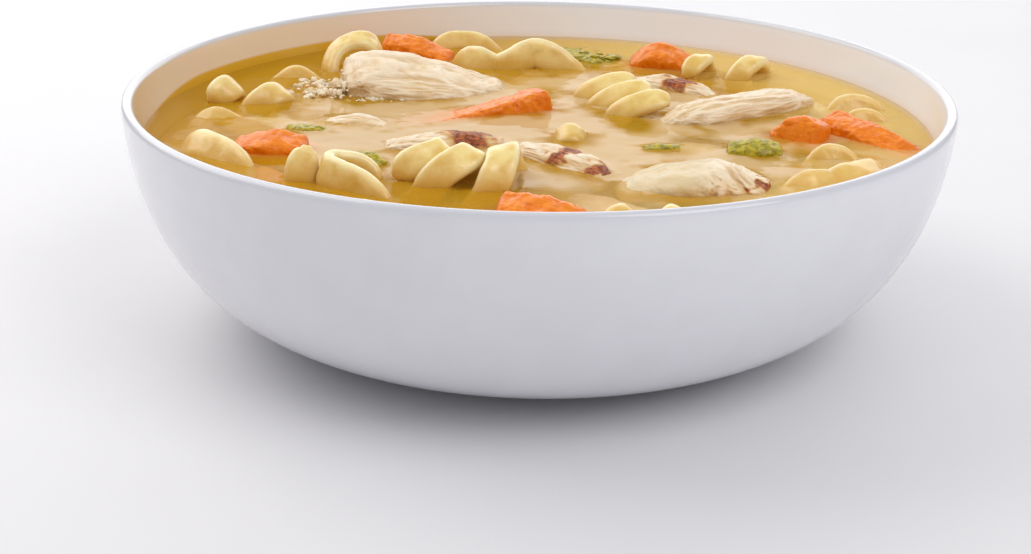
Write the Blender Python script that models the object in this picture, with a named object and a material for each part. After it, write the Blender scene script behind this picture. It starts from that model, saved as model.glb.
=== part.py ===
"""Bowl of chicken noodle soup.

A plain white coupe bowl holds a golden broth.  Curled egg noodles, pulled and
grilled chicken, carrot chunks and bits of celery float in it, half sunk, and the
broth is cut round each of them.

Run with:  blender --background --python part.py
Origin: centre of the foot ring, on the table.  +Z is up and -Y is the front.
"""

import math

import bmesh
import bpy
import numpy as np
from mathutils import Matrix, Vector, noise

MM = 0.001

# ------------------------------------------------------------ driving dimensions
RIM_RADIUS = 89.0 * MM
BOWL_HEIGHT = 51.0 * MM
WALL = 2.5 * MM  # at the rim
FLOOR_EXTRA = 1.5 * MM  # how much thicker the wall is at the bottom
BASE_SHARE = 0.49  # radius where the wall meets the foot, as a share of the rim's
SIDE_POWER = 5.4  # superellipse powers of the wall's outline: how upright the side is
FALL_POWER = 1.8  # and how soon it starts to fall in
FOOT_HEIGHT = 0.8 * MM
FOOT_WIDTH = 3.5 * MM
FOOT_SETBACK = 1.0 * MM
BROTH_DEPTH_BELOW_RIM = 9.5 * MM
GAP = 0.45 * MM  # clearance between touching solids
SPIN_STEPS = 48
WALL_ROWS = 8
ROW_POWER = 1.6  # how much closer the rows lie towards the foot
LIP_STEPS = 4
FIRST_ROW_DOWN = 1.0 * MM  # least distance from the broth's level to its next row
SMOOTH_BELOW = 50.0  # degrees: sharper edges stay sharp

NOODLE_THICK = 3.0 * MM
NOODLE_TAPER = 4.5 * MM  # length of each rounded end
NOODLE_END_WIDTH = 0.4  # share of the width and of the thickness left at the tip
NOODLE_END_THICK = 0.5
NOODLE_SQUARE = 0.8  # 1 is an oval section, less is squarer
NOODLE_CORNERS = 6
CURL_STEPS = 8  # rings in each turn
STRIP_STEPS = 11
LUMP_CORNERS = 8
LUMP_ENDS = ((0.35, 0.55),)  # rings past each end: how far, in half widths, and their size
LUMP_GRAIN = 220.0  # bumps per metre of uneven side

LEVEL = BOWL_HEIGHT - BROTH_DEPTH_BELOW_RIM

# Everywhere below, a place is X, Y and height over the broth, in mm.

# Noodles wound round a path.  radius is from the path to the middle of the ribbon, and
# turns is negative for a left-handed curl.  phase is where it begins, in turns from the
# top, and lean tips the flat side off the radius, in turns.  slant is how far the top of
# each coil leans over in X and Y at the start and at the end, as a share of the radius.
CURLS = {
    "noodle_front": dict(
        path=[
            (-26, -38, 0.2),
            (-21, -40, 0.3),
            (-16, -42, 0.1),
            (-10.2, -42.5, 0.2),
            (-3.5, -41, 0.4),
        ],
        radius=(4.6, 5.2, 5.4, 6.0),
        turns=-2.45,
        phase=0.22,
        lean=(0.11, 0.09, 0.03, -0.05),
        slant=((1.4, 0), (0.15, 0)),
        width=6.8,
    ),
    "noodle_right": dict(
        path=[(14.6, 26, -1.8), (18.5, 17.5, -1.8), (23.4, 8.2, -1.8)],
        radius=(5.4, 5.4, 5.4),
        turns=-2.4,
        phase=0.3,
        lean=(0.08, 0.08, 0.08),
        slant=((0.8, 0.1), (0.8, 0.1)),
        width=6.0,
    ),
    "noodle_left": dict(
        path=[(-75, 17, -0.6), (-65.5, 17, -1.6), (-56, 15, -2.8)],
        radius=(3.6, 3.8, 3.6),
        turns=-1.75,
        phase=0.2,
        lean=(0.12, 0.1, 0.05),
        slant=((0.4, 0), (0.4, 0)),
        width=7.0,
    ),
    "noodle_back_right": dict(
        path=[(36, 47, -0.4), (48, 46.5, -0.4), (61, 45, -0.8)],
        radius=(4.2, 4.2, 4.2),
        turns=-1.9,
        phase=0.2,
        lean=(0.0, 0.02, 0.0),
        slant=((0.3, 0), (0.3, 0)),
        width=5.4,
    ),
    "noodle_near_rim": dict(
        path=[(13, -64, -2.4), (23, -66, -2.0), (33, -65, -2.4)],
        radius=(3.0, 3.6, 3.0),
        turns=-2.2,
        phase=0.2,
        lean=(0.1, 0.08, 0.06),
        slant=((0.6, 0), (0.6, 0)),
        width=6.4,
    ),
}

# Noodles that wander.  points run down the middle; normal is the way that the flat side
# faces at the start, and twist turns it along the way, in turns.
STRIPS = {
    "noodle_fold": dict(
        points=[
            (-31.5, -42, -1.5),
            (-35.5, -41, 1.4),
            (-39.8, -42.3, 2.6),
            (-41, -45, 2.8),
            (-38.5, -47.6, 2.2),
            (-33.5, -50.4, 0.6),
            (-28.5, -54, -2.6),
        ],
        normal=(0, 1, 0.1),
        twist=(0.0, 0.0),
        width=7.4,
    ),
    "noodle_tongue": dict(
        points=[(-47, -43, -6), (-46.6, -43.5, -1), (-45.8, -43, 3), (-45, -42, 6.2)],
        normal=(0, -1, 0.2),
        twist=(0.0, 0.02),
        width=6.6,
    ),
    "noodle_arch": dict(
        points=[
            (-51, 43, -5),
            (-51.5, 46, 1.5),
            (-48.5, 49, 6.4),
            (-42, 51, 6.6),
            (-39, 54, -4),
        ],
        normal=(-1, -0.6, 0.2),
        twist=(0.0, 0.12),
        width=5.6,
    ),
    "noodle_wave": dict(
        points=[
            (-21.5, 55, -4),
            (-17, 51.5, 1.6),
            (-10, 49.5, 0.2),
            (-1, 52, 3.6),
            (7, 51, -0.6),
            (10, 46, -5),
        ],
        normal=(-0.3, -0.8, 0.8),
        twist=(0.0, 0.06, 0.0),
        width=7.6,
    ),
    "noodle_back": dict(
        points=[(-29, 69, -4), (-24, 72, 1.3), (-16, 72, 1.2), (-9, 69, -4)],
        normal=(0, -1, 1),
        twist=(0.0, 0.05),
        width=5.6,
    ),
    "noodle_leaf": dict(
        points=[(-74, -22, -1.0), (-69, -25.5, 1.4), (-62.5, -31, 0.0), (-58, -36, -3.6)],
        normal=(-0.2, -0.7, 1),
        twist=(0.0, 0.08),
        width=7.5,
    ),
    "noodle_front_right": dict(
        points=[
            (48.5, -43.5, -3.6),
            (53.5, -41, -0.3),
            (58.5, -38.5, -0.8),
            (63, -35, 0.3),
            (68, -31, -0.2),
            (72, -26, -3.8),
        ],
        normal=(0, -0.5, 1),
        twist=(0.0, 0.08, -0.04, 0.06),
        width=7.2,
    ),
    "noodle_tip_left": dict(
        points=[(-65.5, 36, -4.0), (-60, 38.5, 0.2), (-56, 38, -0.6), (-51.5, 36.5, -4.5)],
        normal=(0, -1, 1),
        twist=(0.0, 0.05),
        width=5.0,
    ),
    "noodle_low_left": dict(
        points=[(-77, 0, -3.8), (-72, 2.5, -0.2), (-65.5, 1.5, -2.4), (-58, 0, -3.4)],
        normal=(0, -0.4, 1),
        twist=(0.0, 0.04),
        width=5.0,
    ),
    "noodle_middle": dict(
        points=[(3.6, -9, -5), (5.4, -11, 0.3), (8.4, -11, 0.3), (10.4, -9, -5)],
        normal=(-1, -0.4, 1),
        twist=(0.0, 0.0),
        width=6.4,
    ),
    "noodle_right_edge": dict(
        points=[(66, 14, -4.5), (70, 17, 0.2), (75.5, 17, 0.0), (79, 13, -4.5)],
        normal=(0, -1, 1),
        twist=(0.0, 0.05),
        width=5.6,
    ),
    "noodle_right_low": dict(
        points=[(66.5, 4.5, -4.0), (71, 7, 0.1), (75, 7, 0.0), (79, 4.5, -4.0)],
        normal=(0, -1, 1),
        twist=(0.0, 0.05),
        width=4.6,
    ),
    "noodle_by_carrot": dict(
        points=[(55, -25, -4.5), (59, -23, 0.2), (63, -23, 0.0), (66.5, -25.5, -4.5)],
        normal=(0, -1, 1),
        twist=(0.0, 0.05),
        width=5.0,
    ),
    "noodle_near_left": dict(
        points=[(-40, -64, -4.5), (-34, -66, 0.2), (-25, -68, -0.4), (-17, -72, -4.5)],
        normal=(0.2, -0.5, 1),
        twist=(0.0, 0.15),
        width=7.0,
    ),
}

# Lumps lofted down a line.  Each station is a place on the line, then half the width and
# half the height there.  roll turns the section, in turns, and rough is how uneven the
# sides are, in mm.
CHICKEN = {
    "chicken_large": dict(
        stations=[
            (-53, 26.5, -1.6, 4.6, 2.2),
            (-47, 28.5, 0.8, 8.8, 3.8),
            (-39, 29, 2.0, 12, 4.6),
            (-29, 27, 1.2, 12, 4.2),
            (-19, 28.5, 0, 9, 3.4),
            (-9.5, 32, -1.2, 3.4, 2.2),
        ],
        rough=0.6,
        roll=0.055,
    ),
    "chicken_behind_noodle": dict(
        stations=[
            (-31, -19.5, -0.6, 2.5, 1.6),
            (-25, -18.5, 0, 4.6, 2.3),
            (-16, -17, 0.2, 5, 2.5),
            (-8.5, -17, -0.2, 3.4, 1.9),
        ],
        rough=0.4,
    ),
    "chicken_charred": dict(
        stations=[
            (-3, -22, 0, 3, 2),
            (3, -26, 0, 4.4, 2.6),
            (9, -31, -0.3, 4.4, 2.4),
            (13.5, -36.5, -1.4, 2.6, 1.9),
        ],
        rough=0.4,
    ),
    "chicken_grilled": dict(
        stations=[
            (24, 36, -0.4, 3, 2.2),
            (30, 34, 0.1, 4.2, 2.8),
            (36, 31, -0.3, 4.2, 2.4),
            (41, 28, -1.6, 2.8, 1.9),
        ],
        rough=0.4,
    ),
    "chicken_strip": dict(
        stations=[
            (28, 3, -0.4, 2.2, 1.7),
            (36, 6.5, 0.4, 6, 3.2),
            (46, 13.5, 0.4, 6.4, 3.4),
            (55, 19, 0.4, 6.2, 3.2),
            (61, 22, -0.2, 4.4, 2.4),
        ],
        rough=0.5,
        roll=-0.02,
    ),
    "chicken_front": dict(
        stations=[
            (20, -40, -1.4, 7, 2.0),
            (25.5, -39, -0.2, 11, 3.4),
            (34.5, -40, 0.2, 10.8, 3.6),
            (43.5, -43, -1.2, 5.5, 2.2),
        ],
        rough=0.6,
        roll=-0.02,
    ),
    "chicken_small": dict(
        stations=[
            (-46, 1, -1.4, 2.5, 1.4),
            (-40, 0, -0.6, 4, 1.8),
            (-33, -2, -1.4, 3, 1.4),
        ],
        rough=0.4,
    ),
    "chicken_near_rim": dict(
        stations=[
            (-10, -73, -1.8, 3, 1.6),
            (-2, -75, -0.6, 4.6, 2.4),
            (7, -75, -0.8, 4.4, 2.2),
            (13, -73, -1.8, 2.6, 1.4),
        ],
        rough=0.5,
    ),
}

CARROTS = {
    "carrot_left": dict(
        stations=[(-62, -21.5, -0.8, 3.2, 2.6), (-56, -22.5, -0.2, 4.4, 3.4), (-49, -22.5, -0.6, 3.8, 3)],
        roll=0.03,
    ),
    "carrot_back_left": dict(
        stations=[(-39, 63, 1.0, 3.4, 4), (-32, 62, 0.4, 4, 4), (-23.5, 60, -1.6, 3.4, 3)],
        roll=0.04,
    ),
    "carrot_middle": dict(
        stations=[(-30, 1.5, -4.8, 3.6, 2.6), (-14, 8.5, -2.0, 4.2, 3), (0.8, 14.5, 1.0, 4.2, 3.3)],
        roll=-0.02,
    ),
    "carrot_front": dict(
        stations=[(-6, -61, -0.3, 4, 3.4), (1, -62.5, -0.6, 4.4, 3.4), (8, -63, -2.0, 3.6, 2.8)],
        roll=0.04,
    ),
    "carrot_back_right": dict(
        stations=[(24.5, 57, -1.2, 3, 2.8), (30, 56, 0.8, 4.4, 4.2), (37, 55, -0.8, 3.8, 3.2)],
        roll=0.05,
    ),
    "carrot_right": dict(
        stations=[(52.5, -5.5, -1.8, 3, 2.8), (56.5, -7.2, 0.6, 3.8, 4), (60.5, -10, 0.2, 3.2, 3.6)],
        roll=-0.04,
    ),
    "carrot_stick": dict(
        stations=[(64, 0, 0.4, 3.4, 3.2), (71.5, -8, -0.8, 3.8, 3.4), (79, -15.5, -3.0, 3, 2.8)],
        roll=0.03,
    ),
    "carrot_near_rim": dict(
        stations=[(44, -65, -1.4, 3.2, 2.8), (49, -61, -0.6, 4, 3.2), (54, -57, -1.4, 3.2, 2.6)],
        roll=0.02,
    ),
}

CELERY = {
    "celery_right": dict(
        stations=[(40.5, -19.5, -0.2, 2.8, 2.2), (45.5, -19.8, 0.2, 3.4, 2.6), (50, -19.5, -0.2, 2.6, 2.2)],
        roll=0.03,
    ),
    "celery_front": dict(
        stations=[(-36.5, -28, 0.3, 1.4, 1.3), (-34, -30.5, 0.4, 2, 1.6), (-31.5, -32.5, -0.3, 1.4, 1.3)],
        roll=0.03,
    ),
    "celery_back": dict(
        stations=[(4, 68, -0.1, 2, 1.2), (9.5, 64, 0.2, 3.2, 1.5), (15, 57, -0.1, 2, 1.2)],
        roll=0.0,
    ),
    "celery_slip_left": dict(
        stations=[(-54, -6, 0, 1.2, 0.7), (-50.5, -6.8, 0.1, 2, 0.8), (-46.5, -7.5, 0, 1.4, 0.7)],
        roll=0.0,
    ),
    "celery_slip_right": dict(
        stations=[(22.5, -18, 0, 1, 0.7), (26, -17.3, 0.1, 1.7, 0.8), (29.5, -16.6, 0, 1.2, 0.7)],
        roll=0.0,
    ),
    "celery_near_rim": dict(
        stations=[(-52, -60, -0.2, 2, 1.6), (-48, -63, 0, 2.6, 2), (-44, -67, -0.4, 2, 1.6)],
        roll=0.0,
    ),
}


# ------------------------------------------------------------ materials
def paint(name, colour, roughness):
    """A Principled BSDF material."""
    material = bpy.data.materials.new(name)
    material.use_nodes = True
    shader = material.node_tree.nodes["Principled BSDF"]
    shader.inputs["Base Color"].default_value = (*colour, 1.0)
    shader.inputs["Roughness"].default_value = roughness
    material.diffuse_color = (*colour, 1.0)
    return material


# ------------------------------------------------------------ mesh helpers
def add_object(name, edit, material, cutter=False):
    """Turns a bmesh into a linked object."""
    mesh = bpy.data.meshes.new(name)
    bmesh.ops.recalc_face_normals(edit, faces=edit.faces)
    edit.to_mesh(mesh)
    edit.free()
    mesh.materials.append(material)
    mesh.shade_smooth()
    mesh.set_sharp_from_angle(angle=math.radians(SMOOTH_BELOW))
    obj = bpy.data.objects.new(name, mesh)
    bpy.context.scene.collection.objects.link(obj)
    if cutter:
        obj.hide_render = True
        obj.display_type = "WIRE"
    return obj


def turned(profile, steps=SPIN_STEPS):
    """A bmesh turned round Z from (radius, z) points."""
    edit = bmesh.new()
    points = [edit.verts.new((radius, 0.0, z)) for radius, z in profile]
    edges = [edit.edges.new(pair) for pair in zip(points, points[1:])]
    bmesh.ops.spin(
        edit,
        geom=points + edges,
        cent=(0, 0, 0),
        axis=(0, 0, 1),
        angle=math.tau,
        steps=steps,
        use_merge=True,
    )
    bmesh.ops.remove_doubles(edit, verts=edit.verts, dist=1e-6)
    return edit


def unit(vectors):
    """Rows scaled to length one."""
    return vectors / np.linalg.norm(vectors, axis=-1, keepdims=True)


def through(knots, count):
    """Catmull-Rom curve through the knots, as count rows."""
    knots = np.asarray(knots, float)
    ends = np.vstack([2 * knots[0] - knots[1], knots, 2 * knots[-1] - knots[-2]])
    rows = []
    for share in np.linspace(0, len(knots) - 1, count):
        first = min(int(share), len(knots) - 2)
        t = share - first
        a, b, c, d = ends[first : first + 4]
        line = 2 * b + (c - a) * t
        line += (2 * a - 5 * b + 4 * c - d) * t**2
        line += (3 * b - 3 * c + d - a) * t**3
        rows.append(line / 2)
    return np.array(rows)


def spread(values, share):
    """The value at a share of the way along evenly spaced values."""
    return float(np.interp(share, np.linspace(0, 1, len(values)), values))


def mixed(first, last, share):
    """A vector this far from the first to the last."""
    return Vector(first).lerp(Vector(last), share)


def rounded(angle, power):
    """Cosine and sine drawn towards a square as power falls below 1."""
    return [math.copysign(abs(f(angle)) ** power, f(angle)) for f in (math.cos, math.sin)]


def skinned(rings):
    """A closed bmesh over rings of points, with a flat cap at each end."""
    edit = bmesh.new()
    rows = [[edit.verts.new(point) for point in ring] for ring in rings]
    for row, following in zip(rows, rows[1:]):
        for i in range(len(row)):
            j = (i + 1) % len(row)
            edit.faces.new((row[i], row[j], following[j]))
            edit.faces.new((row[i], following[j], following[i]))
    edit.faces.new(rows[0][::-1])
    edit.faces.new(rows[-1])
    return edit


# ------------------------------------------------------------ the bowl
def wall_outline(inset, floor_inset, rows=WALL_ROWS):
    """(radius, z) down the wall from the rim, set in from its outer side by a distance."""
    height = BOWL_HEIGHT - FOOT_HEIGHT
    drop = 1.0 - (1.0 - np.linspace(0, 1, rows)) ** ROW_POWER
    shrink = 1 - (1 - BASE_SHARE**SIDE_POWER) * drop**FALL_POWER
    radius = RIM_RADIUS * shrink ** (1 / SIDE_POWER)
    z = BOWL_HEIGHT - height * drop
    slope = unit(np.stack([np.gradient(radius), np.gradient(z)], axis=1))
    inward = np.stack([slope[:, 1], -slope[:, 0]], axis=1)
    inward[0] = (-1.0, 0.0)
    by = inset + (floor_inset - inset) * drop
    return radius + inward[:, 0] * by, z + inward[:, 1] * by


def make_bowl(material):
    """The coupe bowl: outer wall, round lip, inner wall, and a low foot ring."""
    out_r, out_z = wall_outline(0.0, 0.0)
    in_r, in_z = wall_outline(WALL, WALL + FLOOR_EXTRA)
    foot_r = out_r[-1] - FOOT_SETBACK
    profile = [(0.0, FOOT_HEIGHT), (foot_r - FOOT_WIDTH - FOOT_SETBACK, FOOT_HEIGHT)]
    profile += [(foot_r - FOOT_WIDTH, 0.0), (foot_r, 0.0)]
    profile += list(zip(out_r[:0:-1], out_z[:0:-1]))
    lip = WALL / 2
    for angle in np.linspace(0, math.pi, LIP_STEPS + 1):
        radius = RIM_RADIUS - lip + lip * math.cos(angle)
        profile.append((radius, BOWL_HEIGHT - lip + lip * math.sin(angle)))
    profile += list(zip(in_r[1:], in_z[1:]))
    profile.append((0.0, in_z[-1]))
    return add_object("bowl", turned(profile), material)


# ------------------------------------------------------------ the broth
def make_broth(material, cutters):
    """The broth, up to its level, cut round everything that floats in it."""
    in_r, in_z = wall_outline(WALL + GAP, WALL + FLOOR_EXTRA + GAP)
    below = in_z < LEVEL - FIRST_ROW_DOWN
    edge = float(np.interp(-LEVEL, -in_z, in_r))
    profile = [(edge, LEVEL)] + list(zip(in_r[below], in_z[below]))
    profile.append((0.0, in_z[-1]))
    edit = turned(profile)
    rim_edges = [e for e in edit.edges if e.is_boundary]
    bmesh.ops.contextual_create(edit, geom=rim_edges)
    broth = add_object("broth", edit, material)
    broth.data.shade_flat()
    holes = bpy.data.collections.new("cutters")
    bpy.context.scene.collection.children.link(holes)
    for cutter in cutters:
        bpy.context.scene.collection.objects.unlink(cutter)
        holes.objects.link(cutter)
    cut = broth.modifiers.new("pockets", "BOOLEAN")
    cut.operation = "DIFFERENCE"
    cut.operand_type = "COLLECTION"
    cut.collection = holes
    cut.solver = "EXACT"
    cut.use_self = True
    return broth


# ------------------------------------------------------------ noodles
def ribbon(centres, faces_out, width, grow, corners=NOODLE_CORNERS):
    """Rings of a flat noodle down its centre line.  faces_out are its flat side's normals."""
    centres = np.array(centres)
    along = unit(np.gradient(centres, axis=0))
    normal = unit(faces_out - (faces_out * along).sum(1, keepdims=True) * along)
    side = np.cross(along, normal)
    walked = np.append(0, np.cumsum(np.linalg.norm(np.diff(centres, axis=0), axis=1)))
    from_end = np.minimum(walked, walked[-1] - walked)
    full = np.sqrt(1 - (1 - np.clip(from_end / NOODLE_TAPER, 0, 1)) ** 2)
    centres[0] -= along[0] * grow
    centres[-1] += along[-1] * grow
    rings = []
    for i, centre in enumerate(centres):
        half_w = width / 2 * (NOODLE_END_WIDTH + (1 - NOODLE_END_WIDTH) * full[i]) + grow
        half_t = NOODLE_THICK / 2 * (NOODLE_END_THICK + (1 - NOODLE_END_THICK) * full[i]) + grow
        ring = []
        for angle in np.arange(corners) * math.tau / corners:
            across, up = rounded(angle, NOODLE_SQUARE)
            ring.append(centre + side[i] * half_w * across + normal[i] * half_t * up)
        rings.append(ring)
    return rings


def curl(path, radius, turns, phase, lean, slant):
    """Centre line and flat-side normals of a ribbon wound round a path."""
    count = round(abs(turns) * CURL_STEPS) + 1
    spine = through(np.asarray(path) * MM + (0, 0, LEVEL), count)
    axes = unit(np.gradient(spine, axis=0))
    centres, out = [], []
    for i, share in enumerate(np.linspace(0, 1, count)):
        axis = Vector(axes[i])
        up = (Vector((0, 0, 1)) - axis * axis.z).normalized()
        across = axis.cross(up)
        angle = math.tau * (phase + turns * share)
        tip = math.tau * spread(lean, share)
        away = up * math.cos(angle) + across * math.sin(angle)
        over = Vector((*mixed(*slant, share), 0)) * math.cos(angle)
        centres.append(Vector(spine[i]) + (away + over) * spread(radius, share) * MM)
        out.append(away * math.cos(tip) + axis * math.sin(tip))
    return np.array(centres), np.array(out)


def strip(points, normal, twist):
    """Centre line and flat-side normals of a free noodle through points."""
    centres = through(np.asarray(points) * MM + (0, 0, LEVEL), STRIP_STEPS)
    along = unit(np.gradient(centres, axis=0))
    normal = Vector(normal)
    out = []
    for i, way in enumerate(map(Vector, along)):
        normal = (normal - way * normal.dot(way)).normalized()
        turn = spread(twist, i / (STRIP_STEPS - 1))
        out.append(Matrix.Rotation(math.tau * turn, 3, way) @ normal)
    return centres, np.array(out)


def noodle_rings(facts, grow):
    """Rings of one noodle from its row in CURLS or STRIPS."""
    shape = {key: value for key, value in facts.items() if key != "width"}
    line = curl(**shape) if "path" in facts else strip(**shape)
    return ribbon(*line, facts["width"] * MM, grow)


# ------------------------------------------------------------ chicken, carrot and celery
def lump_rings(stations, grow, square, rough=0.0, roll=0.0, steps=3, seed=0.0):
    """Rings of a lump lofted down its stations, steps of them from one to the next."""
    rows = through(stations, (len(stations) - 1) * steps + 1) * MM
    rows[:, 2] += LEVEL
    along = unit(np.gradient(rows[:, :3], axis=0))
    first, last = ([], [])
    for end, way, more in ((0, -along[0], first), (-1, along[-1], last)):
        for reach, size in LUMP_ENDS:
            centre = rows[end, :3] + way * (rows[end, 3] * reach + grow)
            more.append(np.append(centre, rows[end, 3:] * size))
    rows = np.vstack([*first[::-1], rows, *last])
    along = np.vstack([*[along[0]] * len(first), along, *[along[-1]] * len(last)])
    rings = []
    for row, way in zip(rows, map(Vector, along)):
        turn = Matrix.Rotation(math.tau * roll, 3, way)
        side = turn @ way.cross(Vector((0, 0, 1))).normalized()
        up = side.cross(way)
        ring = []
        for angle in (np.arange(LUMP_CORNERS) + 0.5) * math.tau / LUMP_CORNERS:
            across, rise = rounded(angle, square)
            out = side * across * row[3] + up * rise * row[4]
            point = Vector(row[:3]) + out
            uneven = rough * MM * noise.noise(point * LUMP_GRAIN + Vector((seed, 0, 0)))
            room = (side * across + up * rise) * grow
            ring.append(point + out.normalized() * uneven + room)
        rings.append(ring)
    return rings


def make_food():
    """Everything that floats, and the slightly larger cutters that clear it from the broth."""
    noodle = paint("egg_noodle", (0.86, 0.74, 0.42), 0.35)
    chicken = paint("chicken", (0.86, 0.72, 0.55), 0.5)
    carrot = paint("carrot", (0.86, 0.30, 0.05), 0.35)
    celery = paint("celery", (0.42, 0.45, 0.06), 0.4)
    makers = [(name, noodle, noodle_rings, dict(facts=facts)) for name, facts in (CURLS | STRIPS).items()]
    for table, material, square, steps in (
        (CHICKEN, chicken, 0.85, 2),
        (CARROTS, carrot, 0.6, 1),
        (CELERY, celery, 0.7, 1),
    ):
        for seed, (name, facts) in enumerate(table.items()):
            settings = dict(facts, square=square, steps=steps, seed=float(seed))
            makers.append((name, material, lump_rings, settings))
    cutters = []
    for name, material, rings, settings in makers:
        add_object(name, skinned(rings(grow=0.0, **settings)), material)
        room = skinned(rings(grow=GAP, **settings))
        cutters.append(add_object(name + "_room", room, material, cutter=True))
    return cutters


def main():
    for obj in list(bpy.data.objects):
        bpy.data.objects.remove(obj)
    make_bowl(paint("white_glaze", (0.80, 0.80, 0.82), 0.12))
    make_broth(paint("golden_broth", (0.75, 0.50, 0.16), 0.08), make_food())


main()
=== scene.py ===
"""Bowl of chicken noodle soup, finished for looks.

Glazes the bowl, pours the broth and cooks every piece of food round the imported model.
Each group of pieces has its own operator, and the panel in the sidebar lists them.
Metres, +Z up, -Y is the front.
"""

import math

import bmesh
import bpy
import numpy as np
from bpy.props import FloatProperty, FloatVectorProperty, PointerProperty
from mathutils import Matrix, Vector, noise
from mathutils.bvhtree import BVHTree


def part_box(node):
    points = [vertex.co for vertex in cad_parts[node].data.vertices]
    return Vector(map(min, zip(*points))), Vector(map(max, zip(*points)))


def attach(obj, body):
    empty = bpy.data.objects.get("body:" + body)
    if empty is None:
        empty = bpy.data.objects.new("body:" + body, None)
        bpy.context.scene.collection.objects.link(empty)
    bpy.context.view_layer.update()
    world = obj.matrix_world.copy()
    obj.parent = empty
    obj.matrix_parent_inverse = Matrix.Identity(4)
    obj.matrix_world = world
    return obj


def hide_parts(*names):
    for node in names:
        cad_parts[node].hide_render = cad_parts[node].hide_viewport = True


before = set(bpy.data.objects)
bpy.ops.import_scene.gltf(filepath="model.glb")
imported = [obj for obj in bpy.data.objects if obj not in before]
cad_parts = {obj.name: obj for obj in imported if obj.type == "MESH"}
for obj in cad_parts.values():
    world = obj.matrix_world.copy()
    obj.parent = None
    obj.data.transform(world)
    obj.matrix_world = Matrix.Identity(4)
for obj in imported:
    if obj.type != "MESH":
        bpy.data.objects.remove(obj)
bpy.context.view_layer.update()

bl_info = {
    "name": "Chicken Noodle Soup",
    "version": (1, 0, 0),
    "blender": (4, 5, 0),
    "location": "View3D > Sidebar > Soup",
    "description": "Builds a bowl of chicken noodle soup with broth, noodles, chicken and vegetables",
    "category": "Object",
}

# ------------------------------------------------------------ sizes from the frame
MM = 0.001
RIM_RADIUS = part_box("bowl")[1].x
BOWL_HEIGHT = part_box("bowl")[1].z
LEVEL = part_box("broth")[1].z

# ------------------------------------------------------------ the bowl's outline
WALL = 2.5 * MM  # at the rim
FLOOR_EXTRA = 1.5 * MM  # how much thicker the wall is at the bottom
BASE_SHARE = 0.49  # radius where the wall meets the foot, as a share of the rim's
SIDE_POWER = 5.4  # superellipse powers of the wall's outline: how upright the side is
FALL_POWER = 1.8  # and how soon it starts to fall in
FOOT_HEIGHT = 0.8 * MM
FOOT_WIDTH = 3.5 * MM
FOOT_SETBACK = 1.0 * MM
SPIN_STEPS = 256
WALL_ROWS = 60
ROW_POWER = 1.6  # how much closer the rows lie towards the foot
LIP_STEPS = 12

# ------------------------------------------------------------ how finely food is made
NOODLE_THICK = 3.6 * MM
NOODLE_TAPER = 4.5 * MM  # length of each rounded end
NOODLE_END_WIDTH = 0.4  # share of the width and of the thickness left at the tip
NOODLE_END_THICK = 0.5
NOODLE_SQUARE = 0.76  # 1 is an oval section, less is squarer
NOODLE_DISH = 0.22  # how much thinner it is along its middle than at its edges
NOODLE_WAVER = 6 * MM  # length of the slow changes in width
NOODLE_CORNERS = 36
CURL_STEPS = 44  # rings in each turn
STRIP_STEPS = 72
NOODLE_ENDS = ((0.35, 0.9), (0.62, 0.66), (0.74, 0.3))  # rings past each end: reach and size
LUMP_ENDS = ((0.12, 0.95), (0.23, 0.82), (0.31, 0.62), (0.35, 0.36))

# How rough things are: the height and the size of their bumps, in mm, and what is added to
# the seed of each.
NOODLE_BUMPS = ((0.16, 3.2, 0), (0.05, 0.9, 0))
CHICKEN_TEARS = ((0.5, 2.4, 9), (0.22, 0.8, 5))
CHICKEN_CRUST = ((0.22, 0.6, 7),)
FIBRE_BEND = ((0.9, 9, 1),)
CARROT_BUMPS = ((0.42, 2.6, 0), (0.16, 0.8, 0))
CARROT_PITS = ((0.3, 1.3, 3),)
CELERY_BUMPS = ((0.3, 1.3, 0), (0.12, 0.5, 2))
SUNK_BUMPS = ((0.5, 3, 0),)
SWELLS = ((0.11, 11, 0), (0.05, 4, 2))


# Everywhere below, a place is X, Y and height over the broth, in mm.

# Noodles wound round a path. radius is from the path to the middle of the ribbon, and
# turns is negative for a left-handed curl. phase is where it begins, in turns from the
# top, and lean tips the flat side off the radius, in turns. slant is how far the top of
# each coil leans over in X and Y at the start and at the end, as a share of the radius.
CURLS = {
    "noodle_front": dict(
        path=[
            (-26, -38, 0.2), (-21, -40, 0.3), (-16, -42, 0.1), (-10.2, -42.5, 0.2), (-2.2, -40.5, 0.4),
        ],
        radius=(4.6, 5.2, 5.4, 6.0), turns=-2.58, phase=0.22, lean=(0.11, 0.09, 0.03, -0.05),
        slant=((1.3, 0), (-0.15, 0)), width=6.6,
    ),
    "noodle_right": dict(
        path=[(14.6, 26, -1.8), (18.5, 17.5, -1.8), (23.4, 8.2, -1.8)],
        radius=(5.4, 5.4, 5.4), turns=-2.4, phase=0.3, lean=(0.08, 0.08, 0.08),
        slant=((0.8, 0.1), (0.8, 0.1)), width=6.0,
    ),
    "noodle_left": dict(
        path=[(-75, 17, -0.6), (-65.5, 17, -1.6), (-56, 15, -2.8)],
        radius=(3.6, 3.8, 3.6), turns=-1.75, phase=0.2, lean=(0.12, 0.1, 0.05),
        slant=((0.4, 0), (0.4, 0)), width=7.0,
    ),
    "noodle_back_right": dict(
        path=[(36, 47, -0.4), (48, 46.5, -0.4), (61, 45, -0.8)],
        radius=(4.2, 4.2, 4.2), turns=-1.9, phase=0.2, lean=(0.0, 0.02, 0.0),
        slant=((0.3, 0), (0.3, 0)), width=5.4,
    ),
    "noodle_near_rim": dict(
        path=[(13, -64, -2.4), (23, -66, -2.0), (33, -65, -2.4)],
        radius=(3.0, 3.6, 3.0), turns=-2.2, phase=0.2, lean=(0.1, 0.08, 0.06),
        slant=((0.6, 0), (0.6, 0)), width=6.4,
    ),
}

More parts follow.
